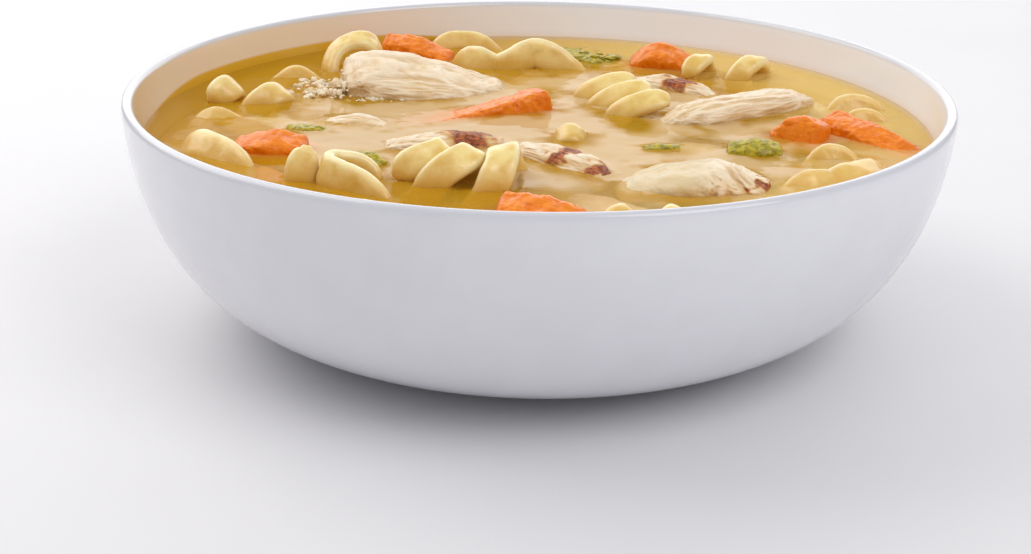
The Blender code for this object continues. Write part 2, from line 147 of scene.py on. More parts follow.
# Noodles that wander. points run down the middle; normal is the way that the flat side
# faces at the start, and twist turns it along the way, in turns.
STRIPS = {
    "noodle_fold": dict(
        points=[
            (-31.5, -42, -1.5), (-35.5, -41, 1.4), (-39.8, -42.3, 2.6), (-41, -45, 2.8),
            (-38.5, -47.6, 2.2), (-33.5, -50.4, 0.6), (-28.5, -54, -2.6),
        ],
        normal=(0, 1, 0.1), twist=(0.0, 0.0), width=7.4,
    ),
    "noodle_tongue": dict(
        points=[(-47, -43, -6), (-46.6, -43.5, -1), (-45.8, -43, 3), (-45, -42, 6.2)],
        normal=(0, -1, 0.2), twist=(0.0, 0.02), width=6.6,
    ),
    "noodle_arch": dict(
        points=[(-51, 43, -5), (-51.5, 46, 1.5), (-48.5, 49, 5.7), (-42, 51, 5.9), (-39, 54, -4)],
        normal=(-1, -0.6, 0.2), twist=(0.0, 0.12), width=5.6,
    ),
    "noodle_wave": dict(
        points=[
            (-21.5, 55, -4), (-17, 51.5, 1.6), (-10, 49.5, 0.2), (-1, 52, 3.6), (7, 51, -0.6),
            (10, 46, -5),
        ],
        normal=(-0.3, -0.8, 0.8), twist=(0.0, 0.06, 0.0), width=7.6,
    ),
    "noodle_back": dict(
        points=[(-29, 69, -4), (-24, 72, 1.3), (-16, 72, 1.2), (-9, 69, -4)],
        normal=(0, -1, 1), twist=(0.0, 0.05), width=5.6,
    ),
    "noodle_leaf": dict(
        points=[(-74, -22, -1.0), (-69, -25.5, 1.4), (-62.5, -31, 0.0), (-58, -36, -3.6)],
        normal=(-0.2, -0.7, 1), twist=(0.0, 0.08), width=7.5,
    ),
    "noodle_front_right": dict(
        points=[
            (48.5, -43.5, -3.6), (53.5, -41, -0.3), (58.5, -38.5, -0.8), (63, -35, 0.3),
            (68, -31, -0.2), (72, -26, -3.8),
        ],
        normal=(0, -0.5, 1), twist=(0.0, 0.08, -0.04, 0.06), width=7.2,
    ),
    "noodle_tip_left": dict(
        points=[(-65.5, 36, -4.0), (-60, 38.5, 0.2), (-56, 38, -0.6), (-51.5, 36.5, -4.5)],
        normal=(0, -1, 1), twist=(0.0, 0.05), width=5.0,
    ),
    "noodle_low_left": dict(
        points=[(-77, 0, -3.8), (-72, 2.5, -0.2), (-65.5, 1.5, -2.4), (-58, 0, -3.4)],
        normal=(0, -0.4, 1), twist=(0.0, 0.04), width=5.0,
    ),
    "noodle_middle": dict(
        points=[(3.6, -9, -5), (5.4, -11, 0.3), (8.4, -11, 0.3), (10.4, -9, -5)],
        normal=(-1, -0.4, 1), twist=(0.0, 0.0), width=6.4,
    ),
    "noodle_right_edge": dict(
        points=[(66, 14, -4.5), (70, 17, 0.2), (75.5, 17, 0.0), (79, 13, -4.5)],
        normal=(0, -1, 1), twist=(0.0, 0.05), width=5.6,
    ),
    "noodle_right_low": dict(
        points=[(66.5, 4.5, -4.0), (71, 7, 0.1), (75, 7, 0.0), (79, 4.5, -4.0)],
        normal=(0, -1, 1), twist=(0.0, 0.05), width=4.6,
    ),
    "noodle_by_carrot": dict(
        points=[(55, -25, -4.5), (59, -23, 0.2), (63, -23, 0.0), (66.5, -25.5, -4.5)],
        normal=(0, -1, 1), twist=(0.0, 0.05), width=5.0,
    ),
    "noodle_near_left": dict(
        points=[(-40, -64, -4.5), (-34, -66, 0.2), (-25, -68, -0.4), (-17, -72, -4.5)],
        normal=(0.2, -0.5, 1), twist=(0.0, 0.15), width=7.0,
    ),
}

# Lumps lofted down a line. Each station is a place on the line, then half the width and
# half the height there. roll turns the section, in turns, and rough is how uneven the
# sides are, in mm.
CHICKEN = {
    "chicken_large": dict(
        stations=[
            (-43, 27.5, 1.0, 7.8, 5.0), (-40, 27.8, 1.7, 9.2, 5.3), (-34, 28, 1.4, 10, 4.9),
            (-27, 28, 0.8, 9.8, 4.3), (-19, 28.8, 0, 8.2, 3.4), (-9.5, 32, -1.2, 3.4, 2.2),
        ],
        square=0.5, rough=0.5, roll=0.04,
    ),
    "chicken_behind_noodle": dict(
        stations=[
            (-31, -19.5, -0.6, 2.5, 1.6), (-25, -18.5, 0, 4.6, 2.3), (-16, -17, 0.2, 5, 2.5),
            (-8.5, -17, -0.2, 3.4, 1.9),
        ],
        rough=0.4,
    ),
    "chicken_charred": dict(
        stations=[
            (-3, -22, 0, 3, 2), (3, -26, 0, 4.4, 2.6), (9, -31, -0.3, 4.4, 2.4),
            (13.5, -36.5, -1.4, 2.6, 1.9),
        ],
        rough=0.4,
    ),
    "chicken_grilled": dict(
        stations=[
            (24, 36, -0.4, 3, 2.2), (30, 34, 0.1, 4.2, 2.8), (36, 31, -0.3, 4.2, 2.4),
            (41, 28, -1.6, 2.8, 1.9),
        ],
        rough=0.4,
    ),
    "chicken_strip": dict(
        stations=[
            (28, 3, -0.4, 2.2, 1.7), (36, 6.5, 0.4, 6, 3.2), (46, 13.5, 0.4, 6.4, 3.4),
            (55, 19, 0.4, 6.2, 3.2), (61, 22, -0.2, 4.4, 2.4),
        ],
        rough=0.5, roll=-0.02,
    ),
    "chicken_front": dict(
        stations=[
            (18, -40, -2.0, 7, 2.0), (25.5, -39, -0.8, 11, 3.2), (35, -40, 0.2, 10.8, 3.7),
            (43.5, -43, -1.0, 5.5, 2.4),
        ],
        rough=0.6, roll=-0.02,
    ),
    "chicken_small": dict(
        stations=[(-46, 1, -1.4, 2.5, 1.4), (-40, 0, -0.6, 4, 1.8), (-33, -2, -1.4, 3, 1.4)],
        rough=0.4,
    ),
    "chicken_near_rim": dict(
        stations=[
            (-10, -73, -1.8, 3, 1.6), (-2, -75, -0.6, 4.6, 2.4), (7, -75, -0.8, 4.4, 2.2),
            (13, -73, -1.8, 2.6, 1.4),
        ],
        rough=0.5,
    ),
}

# Which way the fibres run where that isn't along the piece.
GRAIN = {"chicken_front": (0.45, -0.85, -0.25)}

# The share of a piece's length where its smooth outer side gives way to torn fibres.
TORN_FROM = {"chicken_front": 0.5}

# How much taller than usual a piece's fibres are.
COARSE = {"chicken_front": 1.9}

# Browned places on the chicken: from one share of its length to another, and how far round
# from the top (1) to the side (0) they begin.
CHAR = {
    "chicken_behind_noodle": ((0.42, 1.02, 0.15),),
    "chicken_charred": ((0.36, 0.62, 0.2), (0.72, 1.02, 0.1)),
    "chicken_grilled": ((0.36, 0.72, 0.2),),
    "chicken_front": ((0.93, 1.06, -0.2),),
}

# How long, wide and high the bundles of fibres are, and the threads in them, in mm.
RIDGE_SIZE = (16, 2.2, 2.2)
THREAD_SIZE = (8, 0.6, 0.6)

CARROTS = {
    "carrot_left": dict(
        stations=[
            (-62, -21.5, -0.8, 3.2, 2.6), (-56, -22.5, -0.2, 4.4, 3.4), (-49, -22.5, -0.6, 3.8, 3),
        ],
        roll=0.03,
    ),
    "carrot_back_left": dict(
        stations=[(-39, 63, 1.0, 3.4, 4), (-32, 62, 0.4, 4, 4), (-23.5, 60, -1.6, 3.4, 3)],
        roll=0.04,
    ),
    "carrot_middle": dict(
        stations=[(-30, 1.5, -4.8, 3.6, 2.6), (-14, 8.5, -2.0, 4.2, 3), (0.8, 14.5, 1.0, 4.2, 3.3)],
        roll=-0.02,
    ),
    "carrot_front": dict(
        stations=[(-6, -61, -0.3, 4, 3.4), (1, -62.5, -0.6, 4.4, 3.4), (8, -63, -2.0, 3.6, 2.8)],
        roll=0.04,
    ),
    "carrot_back_right": dict(
        stations=[(24.5, 57, -1.2, 3, 2.8), (30, 56, 0.8, 4.4, 4.2), (37, 55, -0.8, 3.8, 3.2)],
        roll=0.05,
    ),
    "carrot_right": dict(
        stations=[(52.5, -5.5, -1.8, 3, 2.8), (56.5, -7.2, 0.6, 3.8, 4), (60.5, -10, 0.2, 3.2, 3.6)],
        roll=-0.04,
    ),
    "carrot_stick": dict(
        stations=[(64, 0, 0.4, 3.4, 3.2), (71.5, -8, -0.8, 3.8, 3.4), (79, -15.5, -3.0, 3, 2.8)],
        roll=0.03,
    ),
    "carrot_near_rim": dict(
        stations=[(44, -65, -1.4, 3.2, 2.8), (49, -61, -0.6, 4, 3.2), (54, -57, -1.4, 3.2, 2.6)],
        roll=0.02,
    ),
}

CELERY = {
    "celery_right": dict(
        stations=[
            (40.5, -19.5, -0.2, 2.8, 2.2), (45.5, -19.8, 0.2, 3.4, 2.6), (50, -19.5, -0.2, 2.6, 2.2),
        ],
        roll=0.03,
    ),
    "celery_front": dict(
        stations=[
            (-36.5, -28, 0.3, 1.4, 1.3), (-34, -30.5, 0.4, 2, 1.6), (-31.5, -32.5, -0.3, 1.4, 1.3),
        ],
        roll=0.03,
    ),
    "celery_back": dict(
        stations=[(4, 68, -0.1, 2, 1.2), (9.5, 64, 0.2, 3.2, 1.5), (15, 57, -0.1, 2, 1.2)],
        roll=0.0,
    ),
    "celery_slip_left": dict(
        stations=[(-54, -6, 0, 1.2, 0.7), (-50.5, -6.8, 0.1, 2, 0.8), (-46.5, -7.5, 0, 1.4, 0.7)],
        roll=0.0,
    ),
    "celery_slip_right": dict(
        stations=[(22.5, -18, 0, 1, 0.7), (26, -17.3, 0.1, 1.7, 0.8), (29.5, -16.6, 0, 1.2, 0.7)],
        roll=0.0,
    ),
    "celery_near_rim": dict(
        stations=[(-52, -60, -0.2, 2, 1.6), (-48, -63, 0, 2.6, 2), (-44, -67, -0.4, 2, 1.6)],
        roll=0.0,
    ),
}

# Pieces wholly under the broth's surface: what they are made of, then their stations.
SUNK = {
    "sunk_noodle_left": ("egg_noodle", [
        (-71, 11, -4, 1.4, 0.9), (-66, 7.5, -3.2, 3, 1.3), (-59, 8, -3.2, 3, 1.3),
        (-54, 11, -4, 1.4, 0.9),
    ]),
    "sunk_noodle_middle": ("egg_noodle", [
        (-23, -10, -4.2, 1.4, 0.9), (-18, -6, -3.2, 3.2, 1.3), (-10, -4.5, -3.2, 3.2, 1.3),
        (-4, -7, -4.2, 1.4, 0.9),
    ]),
    "sunk_noodle_right": ("egg_noodle", [
        (26, -3, -4.2, 1.4, 0.9), (31, -7, -3.4, 3.2, 1.3), (38, -8.5, -3.4, 3.2, 1.3),
        (43, -6, -4.2, 1.4, 0.9),
    ]),
    "sunk_noodle_back": ("egg_noodle", [
        (51, 36, -4, 1.4, 0.9), (56, 31.5, -3, 3, 1.3), (63, 30.5, -3, 3, 1.3), (69, 26, -4, 1.4, 0.9),
    ]),
    "sunk_noodle_front": ("egg_noodle", [
        (-66, -34, -4, 1.4, 0.9), (-62, -41, -3.2, 3, 1.3), (-55, -44, -3.2, 3, 1.3),
        (-51, -51, -4, 1.4, 0.9),
    ]),
    "sunk_chicken_left": ("chicken", [
        (-52, 3, -3.1, 3, 1.5), (-46, 4, -2.4, 4.6, 1.6), (-39, 5, -3.1, 3, 1.4),
    ]),
    "sunk_chicken_back": ("chicken", [
        (14, 40, -3.1, 3, 1.5), (19, 38, -2.4, 4, 1.6), (25, 39, -3.3, 3, 1.4),
    ]),
    "sunk_chicken_front": ("chicken", [
        (8, -42, -4.0, 3, 1.6), (13, -47, -3.6, 5, 1.6), (20, -50, -4.2, 3, 1.5),
    ]),
    "sunk_chicken_right": ("chicken", [
        (44, 2, -3.5, 3, 1.5), (51, 4, -2.7, 4.4, 1.6), (58, 8, -3.5, 3, 1.4),
    ]),
    "sunk_carrot_front": ("carrot", [
        (-62, -30, -3.9, 3, 1.8), (-56, -32, -3.3, 3.6, 2), (-50, -34, -4.3, 3, 1.8),
    ]),
}

# Loose bits: where, how far they spread, how many and how big.
CHICKEN_CRUMBS = [
    ((-50, 26, 0.3), (6, 8, 0.5), 90, 0.95),
    ((-45.6, 25, 1.2), (2.2, 8, 2.4), 90, 1.0),
    ((-54, 30, 0.0), (4, 5, 0.6), 30, 0.8),
    ((-38, 18.5, 0.2), (9, 3, 0.6), 24, 0.8),
]
LEAF_BITS = [((6, 66.5, 0.2), (9, 7, 0.6), 34, 1.7), ((14, 60, 0.4), (6, 4, 0.8), 16, 1.8)]

FOOD = []  # every finished piece of food, for the broth to cling to


# ------------------------------------------------------------ colour and shader sums
def linear(*levels):
    """Red, green and blue from 0 to 255 as the linear values that shaders take."""
    shares = [level / 255 for level in levels]
    return tuple(s / 12.92 if s <= 0.04045 else ((s + 0.055) / 1.055) ** 2.4 for s in shares)


def solid(colour):
    """A colour with full alpha."""
    return (*colour[:3], 1.0)


def shaded(colour, share):
    """A colour at a share of its brightness."""
    return tuple(level * share for level in colour)


class Wire:
    """An output socket that can be used in sums. Each sum adds a Math node."""

    def __init__(self, tree, socket=None):
        self.tree = tree
        self.socket = socket

    def fill(self, node, inputs):
        """Sets a node's sockets, by name or number, to values or wires."""
        for key, value in inputs.items():
            if isinstance(value, Wire):
                self.tree.links.new(value.socket, node.inputs[key])
            else:
                node.inputs[key].default_value = value

    def node(self, kind, settings=None, inputs=None, output=0):
        """Adds a node, its settings first and then its sockets, and gives one of its outputs."""
        made = self.tree.nodes.new(kind)
        for key, value in (settings or {}).items():
            setattr(made, key, value)
        self.fill(made, inputs or {})
        return Wire(self.tree, made.outputs[output])

    def math(self, operation, first, second=0.0):
        return self.node("ShaderNodeMath", {"operation": operation}, {0: first, 1: second})

    def __add__(self, other):
        return self.math("ADD", self, other)

    def __radd__(self, other):
        return self.math("ADD", other, self)

    def __sub__(self, other):
        return self.math("SUBTRACT", self, other)

    def __rsub__(self, other):
        return self.math("SUBTRACT", other, self)

    def __mul__(self, other):
        return self.math("MULTIPLY", self, other)

    def __rmul__(self, other):
        return self.math("MULTIPLY", other, self)

    def __abs__(self):
        return self.math("ABSOLUTE", self)

    def rise(self, low, high):
        """0 at low, 1 at high, and an S between them."""
        ends = {"Value": self, "From Min": low, "From Max": high}
        return self.node("ShaderNodeMapRange", {"interpolation_type": "SMOOTHSTEP"}, ends)

    def mix(self, first, second):
        """The first colour where this is 0 and the second where it is 1."""
        first, second = (c if isinstance(c, Wire) else solid(c) for c in (first, second))
        return self.node("ShaderNodeMix", {"data_type": "RGBA"}, {0: self, 6: first, 7: second}, 2)

    def place(self):
        """Where a point is, in metres."""
        return self.node("ShaderNodeTexCoord", output=3)

    def height(self):
        """How high a point is, in metres."""
        return self.node("ShaderNodeSeparateXYZ", inputs={"Vector": self.place()}, output=2)

    def fact(self, name):
        """A value that the mesh holds at each point."""
        return self.node("ShaderNodeAttribute", {"attribute_name": name}, output=2)

    def cloud(self, size, detail=2.0, roughness=0.5, stretch=None):
        """Soft noise about 0.5, with lumps of a size in metres."""
        where = self.place()
        if stretch:
            inputs = {0: where, 1: stretch}
            where = self.node("ShaderNodeVectorMath", {"operation": "MULTIPLY"}, inputs)
        inputs = {"Vector": where, "Scale": 1 / size, "Detail": detail, "Roughness": roughness}
        return self.node("ShaderNodeTexNoise", inputs=inputs)

    def bump(self, height, distance, normal=None):
        """A normal from a height whose full range is a distance in metres."""
        inputs = {"Height": height, "Distance": distance, "Strength": 1.0}
        if normal:
            inputs["Normal"] = normal
        return self.node("ShaderNodeBump", inputs=inputs)


def finish_of(name):
    """A new material: itself, a wire to start sums from, and its shader node."""
    material = bpy.data.materials.new(name)
    material.use_nodes = True
    return material, Wire(material.node_tree), material.node_tree.nodes["Principled BSDF"]


def under_broth(wire, colour, broth_colour, depth=3.5 * MM, most=0.85):
    """A colour that goes over to the broth's as it sinks."""
    sunk = (LEVEL - wire.height()).rise(0.0, depth) * most
    return sunk.mix(colour, broth_colour)


def coat(weight, roughness):
    """Sockets for a clear film on top."""
    return {"Coat Weight": weight, "Coat Roughness": roughness}


def flesh(weight, radius, depth):
    """Sockets for food that light sinks into, with the reach of red, green and blue."""
    return {"Subsurface Weight": weight, "Subsurface Radius": radius, "Subsurface Scale": depth}


# ------------------------------------------------------------ finishes
LIP_SPAN = (8.0 * MM, 9.2 * MM)  # heights over the broth where the wall turns into the lip, whose glaze is darker as painted shade
FILM_SPAN = (-0.5 * MM, 2.5 * MM)  # and where the film of broth on the wall thins out
FILM_SHARE = 0.3
UNDER_SHARE = 0.9  # how much of the wall's colour under the level is the broth's
TIDE_HEIGHT = 2.6 * MM  # how high the broth has wet the wall at the back left
TIDE_EDGE = 0.4 * MM  # half the height over which that mark ends
TIDE_FADE = 2.4 * MM  # how high it is before it has its lighter colour

SWIRL_SHARE = 0.9  # how far big and small swirls shift the line between milky and clear
FINE_SHARE = 0.3
FOOD_REFLECTION_AND_SHADOW_SHARE = 1.1  # how much the painted reflections and shadows of food clear the milky broth beside them
MILK_SPAN = (0.1, 0.8)  # from clear to milky
CARROT_TINT_SPAN = (0.15, 1.1)  # from no carrot to most
CARROT_TINT_SHARE = 0.6
EDGE_CLEAR = 0.35  # how much clearer the broth is where it ends on the wall
BROTH_IOR = 1.14

NOODLE_LOW_SPAN = (-0.5 * MM, 5.5 * MM)  # heights over the broth between golden and pale: soaked broth and painted shade low down
NOODLE_LOW_SHARE = 0.8
# How much of the paler edge colour shows: partly the noodle's own, partly a painted highlight.
NOODLE_EDGE_SHARE = 0.7


def glaze_finish(settings):
    """White glaze, faintly uneven, tinted inside by the broth at its level and under it, with painted
    light on the inside, painted shade inside at the left and painted shade on the lip.
    """
    material, wire, shader = finish_of("white_glaze")
    inside, shade, tide = wire.fact("inside"), wire.fact("shade"), wire.fact("tide")
    over = wire.height() - LEVEL
    mottle = wire.cloud(9 * MM, 3.0).rise(0.3, 0.7)
    white = mottle.mix(settings.glaze, shaded(settings.glaze, 0.975))
    # Painted light: the inside glaze is whiter than the outside, as if lit.
    white = inside.mix(white, settings.glaze_inside_lit)
    # Painted shade: the inside turns tan towards the left, for the wall's shade and the broth's bounce
    # light.
    white = shade.mix(white, settings.glaze_shade)
    # Painted shade: the lip's glaze is darker than the rest.
    white = over.rise(*LIP_SPAN).mix(white, settings.glaze_lip_shade)
    film = inside * (1 - over.rise(*FILM_SPAN)) * FILM_SHARE
    colour = film.mix(white, settings.film)
    under = inside * (1 - over.rise(-1.0 * MM, 0.0)) * UNDER_SHARE
    # Painted shade: under the level, the wall at the left takes the darker wet-mark colour.
    colour = under.mix(colour, shade.mix(settings.wall_under, settings.tide))
    wet = 1 - (over - tide * TIDE_HEIGHT).rise(-TIDE_EDGE, TIDE_EDGE)
    mark = over.rise(0.0, TIDE_FADE).mix(settings.tide_low, settings.tide)
    colour = (inside * tide.rise(0.05, 0.3) * wet).mix(colour, mark)
    values = {
        "Base Color": colour,
        "Roughness": 0.14 + 0.08 * wire.cloud(3 * MM),
        "Normal": wire.bump(wire.cloud(14 * MM, 1.0), 0.05 * MM),
    }
    wire.fill(shader, values | coat(0.3, 0.05))
    return material


def broth_finish(settings):
    """The broth's top: golden at the side, milky towards the middle, see-through. The milky middle is
    partly cloudy broth and partly a painted reflection of the sky; painted reflections and shadows of
    food clear it, and painted light makes it lighter at the right.
    """
    material, wire, shader = finish_of("broth_top")
    swirl = wire.cloud(26 * MM, 3.0, 0.55, (1.0, 0.75, 1.0))
    fine = wire.cloud(5 * MM, 3.0)
    # Painted reflections and shadows of food clear the milky broth beside it.
    food_reflection_and_shadow = wire.fact("halo") * wire.cloud(13 * MM, 2.0).rise(0.42, 0.58) * FOOD_REFLECTION_AND_SHADOW_SHARE
    # The milky part is partly cloudy broth and partly a painted reflection of the sky on the surface.
    milk = wire.fact("milk") + (swirl - 0.5) * SWIRL_SHARE + (fine - 0.5) * FINE_SHARE - food_reflection_and_shadow
    milk = milk.rise(*MILK_SPAN)
    # Painted light: the clear broth is lighter and yellower towards the right.
    clear = wire.fact("sunny").mix(settings.golden, settings.yellow)
    # The broth right beside carrot turns orange.
    beside_carrot = wire.fact("orange").rise(*CARROT_TINT_SPAN) * CARROT_TINT_SHARE
    cover = settings.clear_alpha + (settings.milky_alpha - settings.clear_alpha) * milk
    ripple = wire.bump(wire.cloud(7 * MM, 1.0, 0.4, (0.7, 1.0, 1.0)), 0.26 * MM)
    values = {
        "Base Color": beside_carrot.mix(milk.mix(clear, settings.milky), settings.carrot_tinted),
        "Alpha": cover * (1 - EDGE_CLEAR * wire.fact("thin")),
        "Roughness": 0.03 + 0.05 * fine,
        "Normal": wire.bump(wire.cloud(2.2 * MM, 1.0), 0.03 * MM, ripple),
        "IOR": BROTH_IOR,
    }
    wire.fill(shader, values)
    return material


def deep_finish(settings):
    """The broth below the top few millimetres: cloudy and opaque."""
    material, wire, shader = finish_of("broth_deep")
    colour = wire.cloud(18 * MM, 3.0).rise(0.3, 0.7).mix(settings.deep, settings.golden)
    wire.fill(shader, {"Base Color": colour, "Roughness": 0.5})
    return material


def noodle_finish(settings, broth):
    """Cooked egg noodle: pale and soft, deeper in patches, wet, golden and darker near the broth from
    soaked broth and painted shade, and paler at the edges, partly a painted highlight.
    """
    material, wire, shader = finish_of("egg_noodle")
    patches = wire.cloud(4.5 * MM, 3.0, 0.5)
    colour = patches.rise(0.35, 0.7).mix(settings.noodle, settings.noodle_deep)
    # Paler along both edges: partly the noodle's own colour, partly a painted highlight.
    edge = abs(wire.fact("across")).rise(0.55, 1.0) * NOODLE_EDGE_SHARE
    colour = edge.mix(colour, settings.noodle_edge_and_highlight)
    # Golden and darker low down: partly soaked broth, partly painted shade.
    low = (1 - (wire.height() - LEVEL).rise(*NOODLE_LOW_SPAN)) * NOODLE_LOW_SHARE
    colour = low.mix(colour, settings.noodle_soak_and_shade)
    values = {
        "Base Color": under_broth(wire, colour, broth.golden),
        "Roughness": 0.26 + 0.18 * patches,
        "Normal": wire.bump(wire.cloud(1.6 * MM, 3.0, 0.6), 0.1 * MM),
    }
    wire.fill(shader, values | flesh(0.35, (1.0, 0.62, 0.22), 2.2 * MM) | coat(0.4, 0.08))
    return material


def chicken_finish(settings, broth):
    """Moist white chicken with painted shade between its fibres and a browned crust in places."""
    material, wire, shader = finish_of("chicken")
    flush = wire.cloud(6 * MM, 3.0)
    # Painted shade: darker where the fibres sink.
    colour = wire.fact("ridge").rise(0.1, 0.85).mix(settings.chicken_crease_shade, settings.chicken)
    colour = (flush.rise(0.45, 0.8) * 0.5).mix(colour, settings.chicken_warm)
    colour = wire.fact("skin").mix(colour, settings.chicken_skin)
    speck = wire.cloud(1.1 * MM, 4.0, 0.7)
    char = (wire.fact("char") + (speck - 0.5) * 1.5).rise(0.3, 0.85)
    tan = (wire.fact("char") + (flush - 0.5) * 0.5).rise(-0.02, 0.45) * 0.8
    burnt = speck.rise(0.42, 0.62).mix(settings.charred, settings.browned_dark)
    colour = char.mix(tan.mix(colour, settings.browned), burnt)
    values = {
        "Base Color": under_broth(wire, colour, broth.golden, 4 * MM, 0.7),
        "Roughness": 0.34 + 0.25 * flush,
        "Normal": wire.bump(wire.cloud(0.7 * MM, 3.0, 0.6), 0.09 * MM),
        "Specular IOR Level": 0.35,
    }
    flesh_and_coat = flesh(0.25, (1.0, 0.6, 0.35), 1.2 * MM) | coat(0.25 * (1 - char), 0.15)
    wire.fill(shader, values | flesh_and_coat)
    return material


def carrot_finish(settings):
    """Cooked carrot: deep orange skin side, lighter grain on the cut faces, wet."""
    material, wire, shader = finish_of("carrot")
    grain = wire.cloud(2.4 * MM, 4.0, 0.65)
    crack = wire.cloud(1.1 * MM, 3.0, 0.6, (0.4, 1.0, 1.0))
    colour = grain.rise(0.35, 0.68).mix(settings.carrot, settings.carrot_light)
    for share in (wire.fact("cut") * grain.rise(0.4, 0.6) * 0.55, (1 - crack.rise(0.3, 0.45)) * 0.6):
        colour = share.mix(colour, settings.carrot_deep)
    values = {
        "Base Color": under_broth(wire, colour, settings.carrot_sunk),
        "Roughness": 0.22 + 0.2 * grain,
        "Normal": wire.bump(crack, 0.14 * MM, wire.bump(grain, 0.22 * MM)),
        "Specular IOR Level": 0.2,
    }
    wire.fill(shader, values | flesh(0.06, (1.0, 0.4, 0.1), 0.6 * MM) | coat(0.15, 0.05))
    return material


def celery_finish(settings, broth):
    """Cooked celery: yellow green with darker strings."""
    material, wire, shader = finish_of("celery")
    strings = wire.cloud(0.9 * MM, 4.0, 0.65, (0.6, 1.0, 1.0))
    colour = strings.rise(0.4, 0.6).mix(settings.celery_deep, settings.celery)
    values = {
        "Base Color": under_broth(wire, colour, broth.golden, 3 * MM, 0.7),
        "Roughness": 0.25 + 0.2 * strings,
        "Normal": wire.bump(strings, 0.2 * MM),
        "Specular IOR Level": 0.35,
    }
    wire.fill(shader, values | flesh(0.15, (0.7, 1.0, 0.2), 1.0 * MM) | coat(0.2, 0.12))
    return material


def drop_finish(settings):
    """Clear beads of fat and bubbles lying on the broth."""
    material, wire, shader = finish_of("broth_beads")
    rim = wire.fact("rim")
    values = {
        "Base Color": rim.mix(settings.milky, settings.golden),
        "Alpha": 0.18 + 0.5 * rim,
        "Roughness": 0.02 + 0.02 * wire.cloud(2 * MM),
        "IOR": 1.5,
        "Specular IOR Level": 0.9,
        "Coat Weight": 1.0,
    }
    wire.fill(shader, values)
    return material


def floor_finish(settings):
    """A plain pale floor."""
    material, wire, shader = finish_of("floor")
    tone = wire.cloud(60 * MM).rise(0.3, 0.7).mix(settings.floor, shaded(settings.floor, 0.985))
    wire.fill(shader, {"Base Color": tone, "Roughness": 0.6})
    return material


# ------------------------------------------------------------ mesh helpers
def unit(vectors):
    """Rows scaled to length one."""
    return vectors / np.linalg.norm(vectors, axis=-1, keepdims=True)


def through(knots, count):
    """Catmull-Rom curve through the knots, as count rows."""
    knots = np.asarray(knots, float)
    ends = np.vstack([2 * knots[0] - knots[1], knots, 2 * knots[-1] - knots[-2]])
    share = np.linspace(0, len(knots) - 1, count)
    first = np.minimum(share.astype(int), len(knots) - 2)
    t = (share - first)[:, None]
    a, b, c, d = (ends[first + step] for step in range(4))
    line = 2 * b + (c - a) * t
    line += (2 * a - 5 * b + 4 * c - d) * t**2
    line += (3 * b - 3 * c + d - a) * t**3
    return line / 2


def spread(values, share):
    """The value at each share of the way along evenly spaced values."""
    return np.interp(share, np.linspace(0, 1, len(values)), values)


def rounded(angle, power):
    """Cosine and sine drawn towards a square as power falls below 1."""
    return [np.sign(f(angle)) * np.abs(f(angle)) ** power for f in (np.cos, np.sin)]


def smooth(low, high, values):
    """0 at low, 1 at high, and an S between them."""
    share = np.clip((values - low) / (high - low), 0, 1)
    return share * share * (3 - 2 * share)


def fade(distance, reach):
    """1 at no distance, and less and less away from it."""
    return np.exp(-np.maximum(distance, 0) / reach)


def lumps(points, seed=0.0):
    """Smooth noise from -1 to 1 at each point. Points are already scaled to lumps of size 1."""
    flat = np.asarray(points, float).reshape(-1, 3) + (seed * 17.3, seed * 5.1, seed * 9.7)
    values = [noise.noise(Vector(point)) for point in flat]
    return np.array(values).reshape(np.shape(points)[:-1])


def bumps(points, size, seed=0.0):
    """Smooth noise from -1 to 1 at points in metres, with bumps of a size in mm."""
    return lumps(points / (size * MM), seed)


def uneven(points, layers, seed=0.0):
    """Heights in metres at points, summed over layers of bumps."""
    return sum(height * MM * bumps(points, size, seed + more) for height, size, more in layers)


def walked(line):
    """Distance along a line at each of its points."""
    return np.append(0, np.cumsum(np.linalg.norm(np.diff(line, axis=0), axis=1)))


def add_piece(name, points, faces, material, replaces=(), facts=None):
    """A smooth mesh that rides on the bowl and may stand in for CAD nodes.
    facts are values that it holds at each point."""
    mesh = bpy.data.meshes.new(name)
    mesh.from_pydata(np.asarray(points).tolist(), [], [list(map(int, face)) for face in faces])
    mesh.materials.append(material)
    mesh.shade_smooth()
    for key, values in (facts or {}).items():
        held = mesh.attributes.new(key, "FLOAT", "POINT")
        held.data.foreach_set("value", np.asarray(values, np.float32).reshape(-1))
    piece = bpy.data.objects.new(name, mesh)
    bpy.context.scene.collection.objects.link(piece)
    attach(piece, "root")
    if replaces:
        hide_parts(*replaces)
    return piece


def lofted(rings):
    """Points and faces of a closed skin over rings, with a middle point at each end."""
    count, corners = rings.shape[:2]
    points = np.vstack([rings.reshape(-1, 3), rings[:1].mean(1), rings[-1:].mean(1)])
    index = np.arange(count * corners).reshape(count, corners)
    ahead = np.roll(index, -1, axis=1)
    quads = np.stack([index[:-1], ahead[:-1], ahead[1:], index[1:]], axis=-1).reshape(-1, 4)
    first, last = count * corners, count * corners + 1
    faces = quads.tolist()
    faces += [[first, b, a] for a, b in zip(index[0], ahead[0])]
    faces += [[last, a, b] for a, b in zip(index[-1], ahead[-1])]
    return points, faces


def with_ends(values):
    """Values at ring points, with the two end points' added."""
    return np.concatenate([values.reshape(-1), [values[0].mean(), values[-1].mean()]])


def add_food(name, rings, material, facts=None):
    """A piece of food over rings, in place of the solid of that name."""
    points, faces = lofted(rings)
    held = {key: with_ends(values) for key, values in (facts or {}).items()}
    FOOD.append(add_piece(name + "_cooked", points, faces, material, [name], held))


